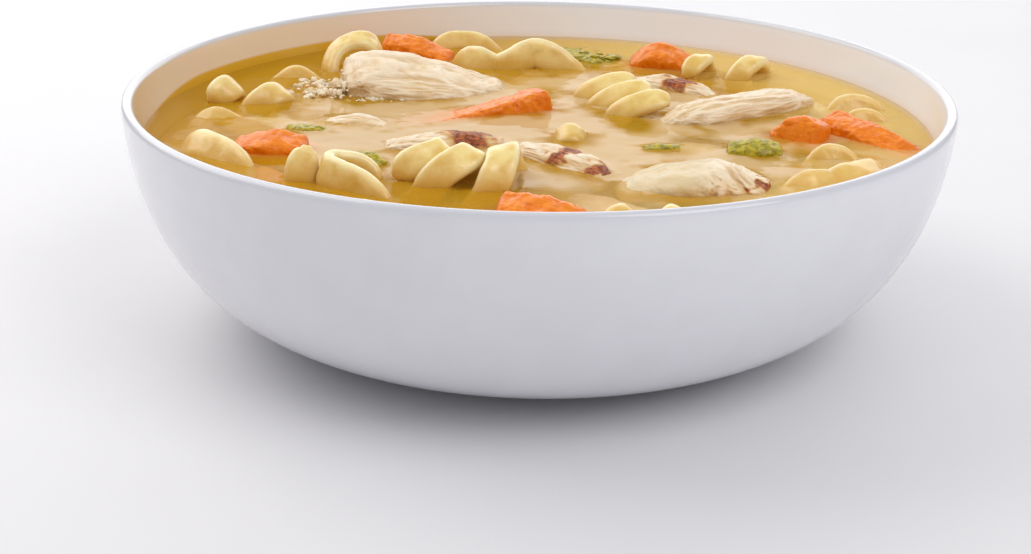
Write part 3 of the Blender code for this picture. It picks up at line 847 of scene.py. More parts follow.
def capped(rings, along, ends):
    """Rings with more past both ends, shrinking round them. ends are reach in metres and size."""
    start, stop = rings[0].mean(0), rings[-1].mean(0)
    before = [start - along[0] * reach + (rings[0] - start) * size for reach, size in ends]
    after = [stop + along[-1] * reach + (rings[-1] - stop) * size for reach, size in ends]
    return np.concatenate([before[::-1], rings, after])


def turned(name, profile, material, replaces, facts=None):
    """A piece turned round Z from (radius, z) points that start and end on the axis."""
    radius, z = np.array(profile[1:-1]).T
    angles = np.arange(SPIN_STEPS) * math.tau / SPIN_STEPS
    x, y = radius[:, None] * np.cos(angles), radius[:, None] * np.sin(angles)
    rings = np.stack([x, y, np.repeat(z[:, None], SPIN_STEPS, axis=1)], axis=-1)
    points, faces = lofted(rings)
    points[-2, 2], points[-1, 2] = profile[0][1], profile[-1][1]
    held = {}
    for key, values in (facts or {}).items():
        held[key] = with_ends(np.broadcast_to(values, (len(profile), SPIN_STEPS))[1:-1])
    return add_piece(name, points, faces, material, replaces, held)


# ------------------------------------------------------------ the bowl
LIP_GAP = 0.3 * MM  # left between the round lip and the first row of the inner wall
TIDE_SPAN = (98, 122, 158, 184)  # where the wet mark starts, is full, wanes and ends, in degrees
SHADE_SPAN = (0.35, 0.9)  # how far round to the left the painted shade on the inside glaze starts and is full


def wall_outline(inset, floor_inset, rows=WALL_ROWS):
    """(radius, z) down the wall from the rim, set in from its outer side by a distance."""
    height = BOWL_HEIGHT - FOOT_HEIGHT
    drop = 1.0 - (1.0 - np.linspace(0, 1, rows)) ** ROW_POWER
    shrink = 1 - (1 - BASE_SHARE**SIDE_POWER) * drop**FALL_POWER
    radius = RIM_RADIUS * shrink ** (1 / SIDE_POWER)
    z = BOWL_HEIGHT - height * drop
    slope = unit(np.stack([np.gradient(radius), np.gradient(z)], axis=1))
    by = inset + (floor_inset - inset) * drop
    return radius + slope[:, 1] * by, z - slope[:, 0] * by


def inner_wall():
    """(radius, z) down the inside of the bowl."""
    return wall_outline(WALL, WALL + FLOOR_EXTRA)


def make_bowl(material):
    """The coupe bowl: outer wall, round lip, inner wall and a low foot ring."""
    out_r, out_z = wall_outline(0.0, 0.0)
    in_r, in_z = inner_wall()
    lip = WALL / 2
    below = out_z < BOWL_HEIGHT - lip
    foot_r = out_r[-1] - FOOT_SETBACK
    outer = [(0.0, FOOT_HEIGHT), (foot_r - FOOT_WIDTH - FOOT_SETBACK, FOOT_HEIGHT)]
    outer += [(foot_r - FOOT_WIDTH, 0.0), (foot_r, 0.0)]
    outer += list(zip(out_r[below][::-1], out_z[below][::-1]))
    inner = []
    for angle in np.linspace(0, math.pi, LIP_STEPS + 1):
        radius = RIM_RADIUS - lip + lip * math.cos(angle)
        inner.append((radius, BOWL_HEIGHT - lip + lip * math.sin(angle)))
    below = in_z < BOWL_HEIGHT - lip - LIP_GAP
    inner += [*zip(in_r[below], in_z[below]), (0.0, in_z[-1])]
    rows = (len(outer) + LIP_STEPS // 2, len(inner) - LIP_STEPS // 2)
    inside = np.repeat((0.0, 1.0), rows)[:, None]
    around = np.arange(SPIN_STEPS) * 360 / SPIN_STEPS
    start, full, wane, end = TIDE_SPAN
    tide = smooth(start, full, around) * (1 - smooth(wane, end, around))[None]
    # Painted shade: how far the inside is towards the left, where its glaze is painted shaded.
    shade = inside * smooth(*SHADE_SPAN, 0.5 - 0.5 * np.cos(np.radians(around)))[None]
    facts = {"inside": inside, "tide": tide, "shade": shade}
    turned("bowl_glazed", outer + inner, material, ["bowl"], facts)


# ------------------------------------------------------------ noodles
def ribbon(centres, faces_out, width, seed):
    """Rings of a flat noodle down its centre line, and where each ring point is across it."""
    along = unit(np.gradient(centres, axis=0))
    normal = unit(faces_out - (faces_out * along).sum(1, keepdims=True) * along)
    side = np.cross(along, normal)
    gone = walked(centres)
    from_end = np.minimum(gone, gone[-1] - gone)
    full = np.sqrt(1 - (1 - np.clip(from_end / NOODLE_TAPER, 0, 1)) ** 2)
    waver = np.stack([gone / NOODLE_WAVER, gone * 0, gone * 0], axis=-1)
    half_w = width / 2 * (NOODLE_END_WIDTH + (1 - NOODLE_END_WIDTH) * full)
    half_w *= 1 + 0.1 * lumps(waver, seed)
    half_t = NOODLE_THICK / 2 * (NOODLE_END_THICK + (1 - NOODLE_END_THICK) * full)
    half_t *= 1 + 0.12 * lumps(waver, seed + 3)
    angles = np.arange(NOODLE_CORNERS) * math.tau / NOODLE_CORNERS
    across, up = rounded(angles, NOODLE_SQUARE)
    up = up * (1 - NOODLE_DISH * (1 - np.abs(across)) ** 0.7)
    out = side[:, None] * across[:, None] * half_w[:, None, None]
    out = out + normal[:, None] * up[:, None] * half_t[:, None, None]
    rings = centres[:, None] + out
    for layer in NOODLE_BUMPS:
        rings += unit(out) * uneven(rings, [layer], seed)[..., None]
    ends = [(reach * half_t[0], size) for reach, size in NOODLE_ENDS]
    rings = capped(rings, along, ends)
    return rings, np.repeat(across[None], len(rings), axis=0)


def curl(path, radius, turns, phase, lean, slant):
    """Centre line and flat-side normals of a ribbon wound round a path."""
    count = round(abs(turns) * CURL_STEPS) + 1
    share = np.linspace(0, 1, count)
    spine = through(np.asarray(path) * MM + (0, 0, LEVEL), count)
    axis = unit(np.gradient(spine, axis=0))
    up = unit(np.array([0, 0, 1.0]) - axis * axis[:, 2:])
    side = np.cross(axis, up)
    angle = (math.tau * (phase + turns * share))[:, None]
    tip = (math.tau * spread(lean, share))[:, None]
    away = up * np.cos(angle) + side * np.sin(angle)
    start, stop = np.array([(*way, 0.0) for way in slant])
    over = (start + (stop - start) * share[:, None]) * np.cos(angle) * np.abs(np.cos(angle))
    centres = spine + (away + over) * (spread(radius, share) * MM)[:, None]
    return centres, away * np.cos(tip) + axis * np.sin(tip)


def strip(points, normal, twist):
    """Centre line and flat-side normals of a free noodle through points."""
    centres = through(np.asarray(points) * MM + (0, 0, LEVEL), STRIP_STEPS)
    along = unit(np.gradient(centres, axis=0))
    normal = Vector(normal)
    out = []
    for share, way in zip(np.linspace(0, 1, STRIP_STEPS), map(Vector, along)):
        normal = (normal - way * normal.dot(way)).normalized()
        out.append(Matrix.Rotation(math.tau * spread(twist, share), 3, way) @ normal)
    return centres, np.array(out)


def make_noodles(material):
    """Every curled and loose noodle."""
    for seed, (name, facts) in enumerate((CURLS | STRIPS).items()):
        shape = {key: value for key, value in facts.items() if key != "width"}
        line = curl(**shape) if "path" in facts else strip(**shape)
        rings, across = ribbon(*line, facts["width"] * MM, seed)
        add_food(name, rings, material, {"across": across})


# ------------------------------------------------------------ chicken, carrot and celery
def lump(stations, corners, square, rough=0.0, roll=0.0, seed=0.0, spacing=0.35):
    """Rings of a lump lofted down its stations, with each ring point's way out and its
    distance along and round the lump in metres. spacing is between rings, in mm."""
    length = walked(np.array(stations)[:, :3])[-1]
    rows = through(stations, round(length / spacing) + 1) * MM
    rows[:, 2] += LEVEL
    along = unit(np.gradient(rows[:, :3], axis=0))
    tips = []
    for row, way in ((rows[0], -along[0]), (rows[-1], along[-1])):
        past = [(row[:3] + way * row[3] * reach, row[3:] * size) for reach, size in LUMP_ENDS]
        tips.append([np.append(*pair) for pair in past])
    rows = np.vstack([tips[0][::-1], rows, tips[1]])
    along = np.pad(along, ((len(LUMP_ENDS), len(LUMP_ENDS)), (0, 0)), "edge")
    flat = unit(np.cross(along, (0, 0, 1.0)))
    turn = math.tau * roll
    side = flat * math.cos(turn) + np.cross(along, flat) * math.sin(turn)
    up = np.cross(side, along)
    angles = (np.arange(corners) + 0.5) * math.tau / corners
    across, rise = rounded(angles, square)
    out = side[:, None] * across[:, None] * rows[:, 3, None, None]
    out = out + up[:, None] * rise[:, None] * rows[:, 4, None, None]
    rings = rows[:, None, :3] + out
    gone = np.repeat(walked(rows[:, :3])[:, None], corners, axis=1)
    step = np.linalg.norm(np.roll(rings, -1, axis=1) - rings, axis=2)
    around = np.cumsum(step, axis=1) - step.sum(1, keepdims=True) / 2
    out = unit(out)
    rings = rings + out * (rough * MM * lumps(rings * 220, seed))[..., None]
    return rings, out, gone, around


def browned(name, rings, out, share, seed):
    """How browned chicken is at each ring point. share is how far along the piece it is."""
    char = np.zeros_like(share)
    for start, stop, facing in CHAR.get(name, ()):
        middle, half = (start + stop) / 2, (stop - start) / 2
        waver = 0.12 * bumps(rings, 3, seed + 6) + 0.06 * bumps(rings, 1.2, seed + 8)
        near = 1 - np.abs(share - middle + waver) / half
        tilt = out[..., 2] + 0.25 * bumps(rings, 3, seed + 2)
        lit = smooth(facing - 0.35, facing + 0.25, tilt)
        char = np.maximum(char, np.clip(near * 1.8, 0, 1) * lit)
    return char


def torn(name, rings, out, gone, seed, fibre_height):
    """Rings of chicken with fibres and tears raised on them, and what its finish must know."""
    share = gone / gone.max()
    whole = unit(rings[-1].mean(0) - rings[0].mean(0))
    whole = unit(np.array(GRAIN.get(name, whole)))
    level = unit(np.cross(whole, (0, 0, 1.0)))
    grain_axes = np.stack([whole, level, np.cross(level, whole)], axis=1)
    inner = (rings + uneven(rings, FIBRE_BEND, seed)[..., None]) @ grain_axes
    ridge = 1 - np.abs(lumps(inner / np.array(RIDGE_SIZE) / MM, seed)) * 2.2
    thread = 1 - np.abs(lumps(inner / np.array(THREAD_SIZE) / MM, seed + 4)) * 2
    strands = 0.6 * ridge + 0.4 * thread
    torn_from = TORN_FROM.get(name, -1.0)
    fibrous = 0.2 + 0.8 * smooth(torn_from, torn_from + 0.25, share)
    height = fibrous * fibre_height * (strands - 0.5) * COARSE.get(name, 1.0)
    ragged = 0.35 + 0.65 * np.maximum(1 - smooth(0.0, 0.2, share), smooth(0.88, 1.0, share))
    height = height + ragged * uneven(rings, CHICKEN_TEARS, seed)
    char = browned(name, rings, out, share, seed)
    height = height * (1 - 0.6 * char) + char * uneven(rings, CHICKEN_CRUST, seed)
    # ridge holds how high the fibres stand; the chicken finish paints shade where it is low.
    facts = {"ridge": 1 - fibrous * (1 - strands), "char": char, "skin": 1 - fibrous}
    return rings + out * height[..., None], facts


def make_chicken(settings, material):
    """Torn chicken, its fibres raised along the piece, with browned crust on some."""
    for seed, (name, facts) in enumerate(CHICKEN.items()):
        rings, out, gone, _ = lump(**(dict(corners=150, square=0.85, seed=seed) | facts))
        rings, held = torn(name, rings, out, gone, seed, settings.fibre_height)
        add_food(name, rings, material, held)
    facts = {"ridge": 1.0, "char": 0.0}
    crumbs("chicken_crumbs", CHICKEN_CRUMBS, 0.75, material, facts, 5)


def make_carrots(material):
    """Carrot chunks with pitted cut ends."""
    for seed, (name, facts) in enumerate(CARROTS.items()):
        rings, out, gone, _ = lump(corners=96, square=0.4, seed=seed, spacing=0.3, **facts)
        share = gone / gone.max()
        cut = np.maximum(1 - smooth(0.04, 0.12, share), smooth(0.88, 0.96, share))
        height = uneven(rings, CARROT_BUMPS, seed) - np.abs(uneven(rings, CARROT_PITS, seed))
        rings = rings + out * (height + 0.1 * MM)[..., None]
        add_food(name, rings, material, {"cut": cut})


def make_celery(material):
    """Bits of celery with raised strings, and loose leaf."""
    for seed, (name, facts) in enumerate(CELERY.items()):
        rings, out, gone, around = lump(corners=64, square=0.7, seed=seed, spacing=0.2, **facts)
        string = np.stack([gone / (4 * MM), around / (1.3 * MM), gone * 0], axis=-1)
        height = 0.14 * MM * (1 - 2 * np.abs(lumps(string, seed))) + uneven(rings, CELERY_BUMPS, seed)
        add_food(name, rings + out * (height - 0.1 * MM)[..., None], material)
    crumbs("celery_leaf_bits", LEAF_BITS, 0.35, material, {}, 8)


def crumbs(name, patches, flat, material, facts, seed):
    """Small ragged bits in one piece. A patch is where, how far it spreads, how many and how
    big, and flat is their height as a share of their width."""
    rng = np.random.default_rng(seed)
    ball = bmesh.new()
    bmesh.ops.create_icosphere(ball, subdivisions=3, radius=1.0)
    base = np.array([vertex.co[:] for vertex in ball.verts])
    shown = np.array([[vertex.index for vertex in face.verts] for face in ball.faces])
    ball.free()
    points, faces = [], []
    for middle, reach, count, size in patches:
        for _ in range(count):
            spot = np.array(middle) + rng.normal(size=3) * np.array(reach) * 0.5
            shape = size * (0.35 + 0.65 * rng.random() ** 2) * rng.uniform(0.45, 1.7, 3) * (1, 1, flat)
            bit = base * (1 + 0.5 * lumps(base * 1.7, rng.random() * 90))[:, None] * shape
            turn = rng.random() * math.tau
            cos, sin = math.cos(turn), math.sin(turn)
            bit[:, :2] = bit[:, :2] @ np.array([[cos, sin], [-sin, cos]])
            faces += (shown + len(points)).tolist()
            points += ((bit + spot) * MM + (0, 0, LEVEL)).tolist()
    facts = {key: np.full(len(points), value) for key, value in facts.items()}
    FOOD.append(add_piece(name, points, faces, material, (), facts))


def make_sunk():
    """Noodle, chicken and carrot seen dimly under the surface, in the frame's plain finishes."""
    for seed, (name, (slot, stations)) in enumerate(SUNK.items()):
        rings, out, _, _ = lump(stations, 40, 0.8, seed=seed, spacing=0.6)
        points, faces = lofted(rings + out * uneven(rings, SUNK_BUMPS, seed)[..., None])
        add_piece(name, points, faces, bpy.data.materials[slot])


# ------------------------------------------------------------ the broth
BROTH_RINGS = 180
BROTH_STEPS = 520
SIDE_ROWS = 8
INTO_WALL = 0.8 * MM  # how far the broth goes into the wall, so that no gap shows
CLOUD_DEPTH = 4.5 * MM  # from the surface down to where the broth hides everything
CLOUD_GAP = 0.3 * MM  # left between the cloudy part and the bowl
TOP_DEPTH = 2 * MM  # how deep the see-through finish goes
CLING = 0.4 * MM  # how high the broth climbs what it touches
CLING_REACH = 0.9 * MM
WALL_CLING = 1.3  # how much higher it climbs the bowl
DIP = 0.7 * MM  # how far its surface drops out of sight inside food
RING_WAVE = 0.035 * MM  # height of the waves that run round food
CARROT_TINT_REACH = 2.4 * MM  # how far a carrot's colour goes
REFLECTION_AND_SHADOW_REACH = 5.5 * MM  # how far the painted reflections and shadows of food reach
THIN_REACH = 1.6 * MM  # how wide the clearer edge on the wall is

# The milky middle, partly cloudy broth and partly a painted reflection of the sky: where it lies
# and half its size in X and Y, in mm, the shares of that size where it starts to thin and
# where it ends, and how strong it is.
MILK_MIDDLE, MILK_HALF = (5, -7), (67, 54)
MILK_THINS = (0.72, 1.15)
MILK_STRENGTH = 1.15

# Painted reflections and shadows of food, where golden broth shows in the milky middle: the middle and
# half the size of each patch, and its strength.
REFLECTION_AND_SHADOW_POOLS = [
    ((-4, -50), (24, 7), 0.9),
    ((21, 1), (5.5, 9.5), 1.1),
    ((33, -10.5), (7, 5.5), 0.8),
    ((55.5, -20.5), (4, 8), 1.0),
    ((1.5, 28), (5.5, 7), 0.9),
]

# Painted light: where the broth is lighter and yellower, towards the right and near the side, over X and
# over the distance from the middle.
PAINTED_LIGHT_X = (-40 * MM, 50 * MM)
PAINTED_LIGHT_RADIUS = (50 * MM, 74 * MM)


def food_tree(kind=""):
    """All food of a kind in one tree, to ask how near it is."""
    points, faces = [], []
    for piece in [piece for piece in FOOD if piece.name.startswith(kind)]:
        start = len(points)
        points += [vertex.co.copy() for vertex in piece.data.vertices]
        faces += [[start + i for i in face.vertices] for face in piece.data.polygons]
    return BVHTree.FromPolygons(points, faces)


def near_food(x, y):
    """How far each place on the surface is from food, below 0 inside it, and the share of
    that distance that is sideways."""
    tree = food_tree()
    near, beside = np.empty_like(x), np.empty_like(x)
    for spot in np.ndindex(x.shape):
        point = Vector((x[spot], y[spot], LEVEL))
        found, _, _, distance = tree.find_nearest(point)
        over = tree.ray_cast(point, Vector((0, 0, 1)))[1]
        near[spot] = -distance if over and over.z > 0 else distance
        beside[spot] = (found - point).xy.length / max(distance, 1e-6)
    return near, beside


def surface(spots, near, beside, to_wall):
    """Height of the broth at its spots: it clings, swells and ripples."""
    climb = CLING * fade(near, CLING_REACH) * smooth(-1.2 * MM, 0.0, near)
    climb = climb * smooth(0.55, 0.9, beside)
    climb = climb - DIP * smooth(0.3 * MM, 1.5 * MM, -near)
    climb = climb + WALL_CLING * CLING * fade(to_wall, CLING_REACH)
    ring_wave = RING_WAVE * np.sin(np.maximum(near, 0) / (0.9 * MM)) * fade(near, 4 * MM)
    return LEVEL + climb + smooth(0.0, 3 * MM, to_wall) * (uneven(spots, SWELLS) + ring_wave)


def stretched(x, y, middle, half):
    """Distance from a middle as a share of half a size in X and Y, all in mm."""
    return np.hypot((x / MM - middle[0]) / half[0], (y / MM - middle[1]) / half[1])


def tints(x, y, spots, near, to_wall):
    """What the broth's finish needs to know at each of its spots."""
    milk = MILK_STRENGTH * (1 - smooth(*MILK_THINS, stretched(x, y, MILK_MIDDLE, MILK_HALF)))
    for middle, half, strength in REFLECTION_AND_SHADOW_POOLS:
        milk = milk - strength * np.exp(-stretched(x, y, middle, half) ** 2)
    carrots = food_tree("carrot")
    orange = [[carrots.find_nearest(Vector(spot))[3] for spot in row] for row in spots]
    return {
        "milk": milk,
        "halo": fade(near, REFLECTION_AND_SHADOW_REACH),
        "sunny": smooth(*PAINTED_LIGHT_X, x) * smooth(*PAINTED_LIGHT_RADIUS, np.hypot(x, y)),
        "thin": fade(to_wall, THIN_REACH),
        "orange": fade(np.array(orange), CARROT_TINT_REACH),
    }


def make_broth(top, deep):
    """The broth: a see-through top that clings to bowl and food, over an opaque cloud."""
    in_r, in_z = inner_wall()
    edge = float(np.interp(-LEVEL, -in_z, in_r)) + INTO_WALL
    radius = edge * np.linspace(0, 1, BROTH_RINGS + 1)[1:]
    angles = np.arange(BROTH_STEPS) * math.tau / BROTH_STEPS
    x, y = radius[:, None] * np.cos(angles), radius[:, None] * np.sin(angles)
    spots = np.stack([x, y, np.full_like(x, LEVEL)], axis=-1)
    near, beside = near_food(x, y)
    to_wall = np.repeat((edge - INTO_WALL - radius)[:, None], BROTH_STEPS, axis=1)
    rings = np.stack([x, y, surface(spots, near, beside, to_wall)], axis=-1)
    heights = np.linspace(LEVEL - 1.0 * MM, in_z[-1] + 0.1 * MM, SIDE_ROWS)
    side = zip(np.interp(-heights, -in_z, in_r) + INTO_WALL * 0.5, heights)
    walls = [[(r * math.cos(a), r * math.sin(a), h) for a in angles] for r, h in side]
    points, faces = lofted(np.concatenate([rings, np.array(walls)]))
    below = np.zeros((SIDE_ROWS, BROTH_STEPS))
    held = tints(x, y, spots, near, to_wall)
    held = {key: with_ends(np.concatenate([values, below])) for key, values in held.items()}
    piece = add_piece("broth_poured", points, faces, top, ["broth"], held)
    piece.data.materials.append(deep)
    for face in piece.data.polygons:
        face.material_index = int(face.center.z < LEVEL - TOP_DEPTH)


def make_cloud(deep):
    """The opaque part of the broth, which hides the bottom of the bowl."""
    in_r, in_z = inner_wall()
    lid = LEVEL - CLOUD_DEPTH
    below = in_z < lid
    profile = [(0.0, lid)]
    profile += [(r, lid) for r in np.linspace(2 * MM, in_r[below][0] - 0.5 * MM, 12)]
    profile += [(r - CLOUD_GAP, h + CLOUD_GAP) for r, h in zip(in_r[below], in_z[below])]
    profile.append((0.0, in_z[-1] + CLOUD_GAP))
    turned("broth_cloud", profile, deep, ())


# Where beads lie in X and Y, how far they spread, and how many there are.
BEADS = [
    ((-52, 23), (5, 3), 16),
    ((-4, -51), (8, 3), 12),
    ((-40, -12), (6, 4), 6),
    ((22, -30), (8, 5), 8),
]
BEAD_CORNERS = 20

# Rings of a bead, from its top down: shares of its radius and of its height, and how near
# the rim each is.
BEAD_ROWS = [
    (0.35, 0.94, 0.1),
    (0.65, 0.76, 0.3),
    (0.87, 0.46, 0.6),
    (1.0, 0.12, 1.0),
    (1.0, -0.1, 1.0),
    (0.6, -0.25, 0.8),
]


def bead_rings(spot, radius, height):
    """Rings of a low dome and its flat underside at a spot."""
    angles = np.arange(BEAD_CORNERS) * math.tau / BEAD_CORNERS
    rings = []
    for out, up, _ in BEAD_ROWS:
        reach, z = radius * out, spot[2] + height * up
        rings.append([(spot[0] + reach * math.cos(a), spot[1] + reach * math.sin(a), z) for a in angles])
    return np.array(rings)


def make_beads(material):
    """Round beads of fat and small bubbles that lie on the broth where it is stirred up."""
    rng = np.random.default_rng(11)
    tree = food_tree()
    rim = np.repeat([[near] for _, _, near in BEAD_ROWS], BEAD_CORNERS, axis=1)
    points, faces, placed = [], [], []
    for middle, reach, count in BEADS:
        wanted = len(placed) + count
        for _ in range(40 * count):
            if len(placed) == wanted:
                break
            spot = Vector((*(np.array(middle) + rng.normal(size=2) * reach) * MM, LEVEL))
            size = (0.3 + 0.9 * rng.random() ** 2) * MM
            found, normal, _, distance = tree.find_nearest(spot)
            if (spot - found).dot(normal) < 0 or distance < size + 0.2 * MM:
                continue
            if any((spot - other).length < size + other_size for other, other_size in placed):
                continue
            placed.append((spot, size))
            more, shown = lofted(bead_rings(spot + Vector((0, 0, 0.08 * MM)), size, size * 0.45))
            faces += [[len(points) + i for i in face] for face in shown]
            points += more.tolist()
    facts = {"rim": np.tile(with_ends(rim), len(placed))}
    add_piece("broth_beads", points, faces, material, (), facts)


# ------------------------------------------------------------ the stage
FLOOR_HALF = 1.6
FLOOR_CELLS = 8
FLOOR_GAP = 0.2 * MM  # left under the foot
LIGHT_TARGET = (0, 0, 0.03)

# Where each light stands, its width and height, and its colour.
LIGHTS = {
    "key": ((-0.58, 0.25, 0.62), 0.75, 0.75, (1.0, 0.98, 0.95)),
    "back": ((0.0, 1.0, 0.42), 1.5, 0.7, (1.0, 1.0, 1.0)),
    "fill": ((0.5, -0.45, 0.7), 0.6, 0.6, (1.0, 1.0, 1.0)),
}


def add_light(name, watts, spot, width, height, colour):
    """A soft oblong light that faces the bowl."""
    light = bpy.data.lights.new(name, "AREA")
    light.shape = "RECTANGLE"
    light.size = width
    light.size_y = height
    light.energy = watts
    light.color = colour
    lamp = bpy.data.objects.new(name, light)
    bpy.context.scene.collection.objects.link(lamp)
    lamp.location = spot
    way = Vector(LIGHT_TARGET) - Vector(spot)
    lamp.rotation_euler = way.to_track_quat("-Z", "Y").to_euler()


def add_floor(material):
    """A wide floor just under the foot."""
    count = FLOOR_CELLS + 1
    steps = np.linspace(-FLOOR_HALF, FLOOR_HALF, count)
    points = [(x, y, -FLOOR_GAP) for y in steps for x in steps]
    starts = [row * count + column for row in range(FLOOR_CELLS) for column in range(FLOOR_CELLS)]
    faces = [(start, start + 1, start + count + 1, start + count) for start in starts]
    mesh = bpy.data.meshes.new("floor")
    mesh.from_pydata(points, [], faces)
    mesh.materials.append(material)
    floor = bpy.data.objects.new("floor", mesh)
    bpy.context.scene.collection.objects.link(floor)


def add_camera(settings):
    """A camera that looks down on the near rim, a little turned and tilted."""
    lift = settings.camera_height
    back = Vector((0, -math.cos(lift), math.sin(lift)))
    aim, right = -back, Vector((1, 0, 0))
    up = right.cross(aim)
    pan, tilt, roll = settings.camera_pan, settings.camera_tilt, settings.camera_roll
    panned = aim * math.cos(pan) + right * math.sin(pan)
    side = right * math.cos(pan) - aim * math.sin(pan)
    tilted = panned * math.cos(tilt) - up * math.sin(tilt)
    top = up * math.cos(tilt) + panned * math.sin(tilt)
    x_axis = side * math.cos(roll) + top * math.sin(roll)
    y_axis = top * math.cos(roll) - side * math.sin(roll)
    data = bpy.data.cameras.new("camera")
    data.lens = settings.lens
    data.sensor_width = 36
    data.clip_start = 0.01
    camera = bpy.data.objects.new("camera", data)
    bpy.context.scene.collection.objects.link(camera)
    where = Vector((0, 0, BOWL_HEIGHT)) + back * settings.camera_distance
    axes = Matrix((x_axis, y_axis, -tilted)).transposed().to_4x4()
    camera.matrix_world = Matrix.Translation(where) @ axes
    bpy.context.scene.camera = camera


def add_world(settings):
    """A nearly white sky, brighter overhead."""
    world = bpy.data.worlds.new("studio")
    world.use_nodes = True
    wire = Wire(world.node_tree)
    strengths = {"To Min": settings.sky_strength, "To Max": settings.zenith_strength}
    strength = wire.node("ShaderNodeMapRange", inputs={"Value": wire.height()} | strengths)
    background = world.node_tree.nodes["Background"]
    wire.fill(background, {"Color": solid(settings.sky), "Strength": strength})
    bpy.context.scene.world = world


# ------------------------------------------------------------ settings
def tint(name, description, *levels):
    """A colour property whose default is given from 0 to 255."""
    return FloatVectorProperty(
        name=name,
        description=description,
        subtype="COLOR",
        size=3,
        min=0.0,
        max=1.0,
        default=linear(*levels),
    )


def amount(name, description, default, **more):
    """A number property, from 0 up unless more says otherwise."""
    return FloatProperty(name=name, description=description, default=default, **({"min": 0.0} | more))


def angle(name, description, degrees):
    """An angle property whose default is given in degrees."""
    return FloatProperty(
        name=name, description=description, default=math.radians(degrees), subtype="ANGLE"
    )


class BowlSettings(bpy.types.PropertyGroup):
    glaze: tint("Glaze", "Colour of the bowl outside and at the rim", 229, 229, 234)
    # Painted light: the inside glaze is whiter than the outside.
    glaze_inside_lit: tint("Glaze inside", "Colour of the bowl inside", 246, 247, 253)
    # Painted shade and bounce light on the inside at the left.
    glaze_shade: tint("Glaze in shade", "Colour of the bowl inside at the left", 232, 212, 184)
    # Painted shade: the lip is darker than the rest of the glaze.
    glaze_lip_shade: tint("Glaze on the lip", "Colour of the bowl's rounded lip", 205, 206, 211)
    film: tint("Film", "Tint left by broth on the inner wall", 232, 184, 110)
    tide: tint("Wet mark", "Broth clinging to the wall at the back left", 215, 168, 50)
    tide_low: tint("Wet mark at the broth", "Its darker colour low down", 207, 160, 42)
    wall_under: tint("Under the broth", "Colour of the wall seen through the broth", 250, 222, 128)


class BrothSettings(bpy.types.PropertyGroup):
    golden: tint("Golden broth", "Colour near the side", 217, 166, 34)
    # Painted light: the broth's lighter colour at the right.
    yellow: tint("Yellow broth", "Colour near the right side", 250, 218, 124)
    # Partly cloudy broth, partly a painted reflection of the sky.
    milky: tint("Milky broth", "Colour in the cloudy middle", 216, 183, 130)
    # Colour of the broth right beside carrot.
    carrot_tinted: tint("Stained broth", "Colour right beside carrot", 240, 148, 80)
    deep: tint("Deep broth", "Colour of the broth's darkest depths", 200, 142, 10)
    clear_alpha: amount("Clear cover", "How much the golden surface hides", 0.5, max=1.0)
    milky_alpha: amount("Milky cover", "How much the milky surface hides", 0.85, max=1.0)


class NoodleSettings(bpy.types.PropertyGroup):
    noodle: tint("Noodle", "Colour of the noodles", 240, 218, 144)
    noodle_deep: tint("Noodle patches", "Deeper colour in patches", 222, 186, 92)
    # Partly the noodle's own paler edge, partly a painted highlight.
    noodle_edge_and_highlight: tint("Noodle edge", "Paler colour at the two edges", 243, 232, 184)
    # Partly soaked broth, partly painted shade on the lower sides.
    noodle_soak_and_shade: tint("Noodle at the broth", "Golden colour near the surface", 212, 164, 62)


class ChickenSettings(bpy.types.PropertyGroup):
    chicken: tint("Chicken", "Colour of the meat", 234, 216, 186)
    # Painted shade between the fibres.
    chicken_crease_shade: tint("Chicken creases", "Colour between the fibres", 214, 182, 136)
    chicken_warm: tint("Chicken flush", "Warmer colour in patches", 226, 198, 142)
    chicken_skin: tint("Chicken outside", "Colour of its smooth outer side", 206, 184, 136)
    browned: tint("Browned", "Colour of the roasted skin", 208, 158, 72)
    browned_dark: tint("Grilled", "Colour of the grill marks", 184, 100, 44)
    charred: tint("Charred", "Darkest colour in the grill marks", 112, 50, 18)
    fibre_height: amount("Fibre height", "How far the fibres stand up", 0.5 * MM, unit="LENGTH")


class VegetableSettings(bpy.types.PropertyGroup):
    carrot: tint("Carrot", "Colour of the carrots", 226, 116, 6)
    carrot_light: tint("Carrot light", "Lighter grain of the carrots", 240, 140, 30)
    carrot_deep: tint("Carrot cut", "Darker spots on cut faces", 206, 90, 4)
    carrot_sunk: tint("Sunken carrot", "Colour of carrot seen through broth", 230, 128, 34)
    celery: tint("Celery", "Colour of the celery", 190, 170, 28)
    celery_deep: tint("Celery strings", "Colour between the strings", 136, 126, 12)


class StageSettings(bpy.types.PropertyGroup):
    floor: tint("Floor", "Colour of the floor", 224, 223, 224)
    sky: tint("Sky", "Colour of the light from all round", 250, 250, 255)
    sky_strength: amount("Sky strength", "Light from low down", 0.43)
    zenith_strength: amount("Zenith strength", "Light from overhead", 0.68)
    key_watts: amount("Key light", "Power of the light at the left", 3.8, unit="POWER")
    back_watts: amount("Back light", "Power of the wide light behind", 4.6, unit="POWER")
    fill_watts: amount("Fill light", "Power of the light in front", 3.4, unit="POWER")
    lens: amount("Lens", "Focal length in millimetres", 56.54, min=1.0, unit="CAMERA")
    camera_distance: amount("Distance", "From the camera to the rim's centre", 0.356, unit="LENGTH")
    camera_height: angle("Height", "Angle of the camera over the rim", 14.2635)
    camera_pan: angle("Pan", "Turn to the right", -0.708)
    camera_tilt: angle("Tilt", "Turn down from the rim's centre", 6.870)
    camera_roll: angle("Roll", "Turn round the view", 0.879)


# ------------------------------------------------------------ operators
class SOUP_OT_bowl(bpy.types.Operator):
    """Turn the bowl and glaze it"""

    bl_idname = "soup.bowl"
    bl_label = "Glaze the Bowl"

    def execute(self, context):
        make_bowl(glaze_finish(context.scene.soup_bowl))
        return {"FINISHED"}


